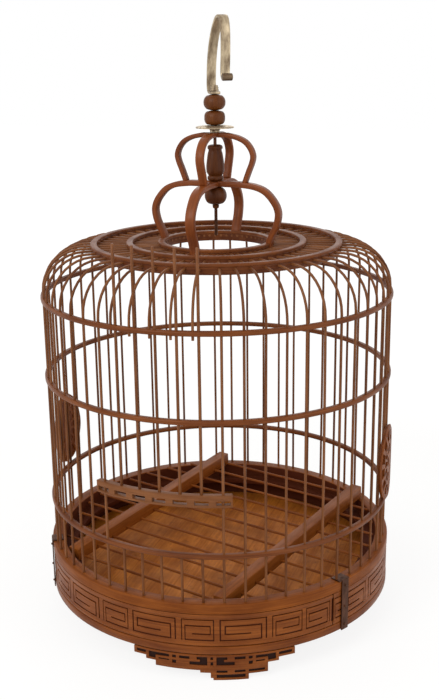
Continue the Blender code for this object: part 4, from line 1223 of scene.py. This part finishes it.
class CAGE_OT_hanger(bpy.types.Operator):
    """The rod with its beads, spindle and dish, and the hook"""
    bl_idname = "cage.hanger"
    bl_label = "Hanger"

    def execute(self, context):
        beads = (("top_bead", 2.1, 0.3), ("middle_bead", 2.6, 0.5), ("lower_bead", 2.0, -0.8))
        for node, fullness, tone in beads:
            self.turned(node, bead_outline(*extent(node), fullness), "bead wood", "bead_wood", tone)
        bottom, top, radius = extent("crown_spindle")
        height = top - bottom
        spindle = bored([(radius * a, bottom + height * b) for a, b in SPINDLE], bottom, bottom + height)
        self.turned("crown_spindle", spindle, "bead wood", "bead_wood", -0.9)
        bottom, top, radius = extent("hook_dish")
        dish = [(0.0080, top), (0.0120, top - 0.0002), (0.0165, top - 0.0009), (radius, top - 0.0014),
                (radius, top - 0.0022), (0.0160, top - 0.0022), (0.0090, top - 0.0026),
                (0.0052, top - 0.0034), (0.0045, top - 0.0044), (0.0045, bottom)]
        self.turned("hook_dish", bored(dish, bottom, top), "hook brass", "aged_brass", 0.0)
        bottom, top, radius = extent("hook_nut")
        nut = [(radius * 0.55, top), (radius * 0.74, top - 0.0003), (radius * 0.80, top - 0.0009),
               (radius * 0.78, top - 0.0016), (radius * 0.90, top - 0.0020), (radius * 0.93, top - 0.0026),
               (radius * 0.86, bottom + 0.0018), (radius * 0.90, bottom + 0.0012), (radius, bottom + 0.0008),
               (radius, bottom + 0.0002), (radius * 0.95, bottom)]
        self.turned("hook_nut", bored(nut, bottom, top), "hook brass", "aged_brass", -0.5)
        bottom, top, radius = extent("rod_collar")
        collar = softened(bored([(radius, top), (radius * 0.86, bottom)], bottom, top), 0.0006)
        self.turned("rod_collar", collar, "bead wood", "bead_wood", -0.9)
        bottom, top, _ = extent("hook_rod")
        rod = [(0.0, top), (0.0008, top), (0.0015, top - 0.0008), (0.0015, bottom + 0.0008),
               (0.0008, bottom), (0.0, bottom)]
        self.turned("hook_rod", rod, "band brass", "aged_brass", 0.0)
        self.make_hook()
        return {"FINISHED"}

    def turned(self, node, outline, look, slot, tone):
        obj = spun(node + "_turned", outline, 40)
        set_grain(obj, upright, tone, tone)
        finish_piece(obj, look, [node], 45.0, "hanger")

    def make_hook(self):
        """The hook: a flat strip from its foot under the nut, with its tip rolled up."""
        width, thickness = sizes().hook_width, sizes().hook_thickness
        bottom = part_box("hook")[0][2]
        middle = bottom + thickness / 2
        path = [(x, middle + z) for x, z in smooth_path(HOOK_PATH)]
        hook = bent_strip("carrying_hook", path, width, thickness, 0.0007)
        cut_level(hook, bottom)
        x, z = path[-1]
        roll = level_cylinder("hook_roll", 24, 0.0032, width + 0.0006, (x, 0.0, z))
        bevel(roll, 0.0006)
        set_grain(roll, along_y, -1.0)
        hook = joined([hook, roll], "carrying_hook")
        hook.data.transform(about_z(HOOK_AZIMUTH - 90.0))
        finish_piece(hook, "hook brass", ["hook"], 50.0, "hanger")


# Camera, lamps, floor

class CAGE_OT_stage(bpy.types.Operator):
    """The camera at the photograph's angle, soft lamps and a white floor"""
    bl_idname = "cage.stage"
    bl_label = "Stage"

    def execute(self, context):
        self.make_camera(context.scene)
        self.make_lamps(context.scene)
        self.make_world(context.scene)
        self.make_floor()
        context.scene.view_settings.view_transform = "Standard"
        return {"FINISHED"}

    def make_camera(self, scene):
        """Level distance, height, pitch and roll found from the photograph's perspective."""
        distance, height, azimuth, pitch, yaw, roll = 0.985, 0.537, 18.2, 15.99, 0.10, 0.72
        sensor, focal_pixels, picture_pixels = 36.0, 1061.1, 700.0
        data = bpy.data.cameras.new("photo camera")
        data.sensor_width = sensor
        data.lens = sensor * focal_pixels / picture_pixels
        data.clip_start, data.clip_end = 0.05, 20.0
        camera = bpy.data.objects.new("photo camera", data)
        turn = (about_z(azimuth - yaw) @ Matrix.Rotation(math.radians(90.0 - pitch), 4, "X")
                @ about_z(-roll))
        camera.matrix_world = Matrix.Translation(polar(distance, azimuth, height)) @ turn
        scene.collection.objects.link(camera)
        scene.camera = camera

    def make_lamps(self, scene):
        """Square lamps, aimed at the middle of the cage."""
        stage, middle = scene.cage_stage, Vector((0.0, 0.0, 0.25))
        plans = (
            ("key lamp", stage.key_power, 0.9, polar(1.5, -20.0, 1.25)),
            ("fill lamp", stage.fill_power, 1.2, polar(1.6, 75.0, 0.8)),
            ("back lamp", stage.fill_power * 0.6, 1.0, polar(1.6, 200.0, 1.4)),
        )
        for name, watts, size, place in plans:
            data = bpy.data.lights.new(name, "AREA")
            data.energy = watts
            data.size = size
            lamp = bpy.data.objects.new(name, data)
            lamp.location = place
            lamp.rotation_euler = (middle - place).to_track_quat("-Z", "Y").to_euler()
            scene.collection.objects.link(lamp)

    def make_world(self, scene):
        """An even, slightly warm light, and pure white where the background is seen."""
        world = bpy.data.worlds.new("white room")
        world.use_nodes = True
        tree = world.node_tree
        tree.nodes.clear()
        room = add_node(tree, "Background", {"Color": (1.0, 0.965, 0.90), "Strength": scene.cage_stage.room})
        white = add_node(tree, "Background", {"Color": (1.0, 1.0, 1.0), "Strength": 1.0})
        blend_shaders(tree, background_rays(tree), room, white, add_node(tree, "OutputWorld"))
        scene.world = world

    def make_floor(self):
        """A white floor that keeps a soft shadow and fades into the background further out."""
        bpy.ops.object.select_all(action="DESELECT")
        bpy.ops.mesh.primitive_plane_add(size=12.0, location=(0.0, 0.0, 0.0))
        floor = added("floor")
        tree, shader = new_material("white floor")
        feed(tree, shader.inputs["Base Color"], (0.86, 0.86, 0.86))
        feed(tree, shader.inputs["Roughness"], 0.9)
        glow = add_node(tree, "Emission", {"Color": (1.0, 1.0, 1.0), "Strength": 1.07})
        near, slope, least = 0.5, 1.5, 0.8
        place = add_node(tree, "TexCoord").outputs["Object"]
        reach = add_node(tree, "VectorMath", {0: place}, operation="LENGTH").outputs["Value"]
        far = maths(tree, "MULTIPLY", maths(tree, "SUBTRACT", reach, near), slope, True)
        share = maths(tree, "ADD", maths(tree, "MULTIPLY", far, 1.0 - least), least)
        share = maths(tree, "MULTIPLY", background_rays(tree), share)
        blend_shaders(tree, share, shader, glow, tree.nodes["Material Output"])
        floor.data.materials.append(bpy.data.materials["white floor"])


OPERATORS = (
    CAGE_OT_stage, CAGE_OT_base, CAGE_OT_feet, CAGE_OT_drawer, CAGE_OT_rack, CAGE_OT_wall_bars,
    CAGE_OT_hoops, CAGE_OT_top_rings, CAGE_OT_door, CAGE_OT_plaques, CAGE_OT_crown, CAGE_OT_hanger,
)


class CAGE_PT_panel(bpy.types.Panel):
    """Lists the cage's sizes, colours and pieces"""
    bl_label = "Bird Cage"
    bl_idname = "CAGE_PT_panel"
    bl_space_type = "VIEW_3D"
    bl_region_type = "UI"
    bl_category = "Bird Cage"

    def draw(self, context):
        layout = self.layout
        scene = context.scene
        for group in (scene.cage_sizes, scene.cage_colours, scene.cage_stage):
            box = layout.box()
            for name in group.bl_rna.properties.keys():
                if name not in ("rna_type", "name"):
                    box.prop(group, name)
        for operator in OPERATORS:
            layout.operator(operator.bl_idname)


GROUPS = (("cage_sizes", CageSizes), ("cage_colours", CageColours), ("cage_stage", CageStage))


def register():
    for name, group in GROUPS:
        bpy.utils.register_class(group)
        setattr(bpy.types.Scene, name, bpy.props.PointerProperty(type=group))
    for cls in (*OPERATORS, CAGE_PT_panel):
        bpy.utils.register_class(cls)


def unregister():
    for cls in reversed((*OPERATORS, CAGE_PT_panel)):
        bpy.utils.unregister_class(cls)
    for name, group in reversed(GROUPS):
        delattr(bpy.types.Scene, name)
        bpy.utils.unregister_class(group)


def main():
    register()
    bpy.ops.cage.stage()
    bpy.ops.cage.base()
    bpy.ops.cage.feet()
    bpy.ops.cage.drawer()
    bpy.ops.cage.rack()
    bpy.ops.cage.wall_bars()
    bpy.ops.cage.hoops()
    bpy.ops.cage.top_rings()
    bpy.ops.cage.door()
    bpy.ops.cage.plaques()
    bpy.ops.cage.crown()
    bpy.ops.cage.hanger()


if __name__ == "__main__":
    main()
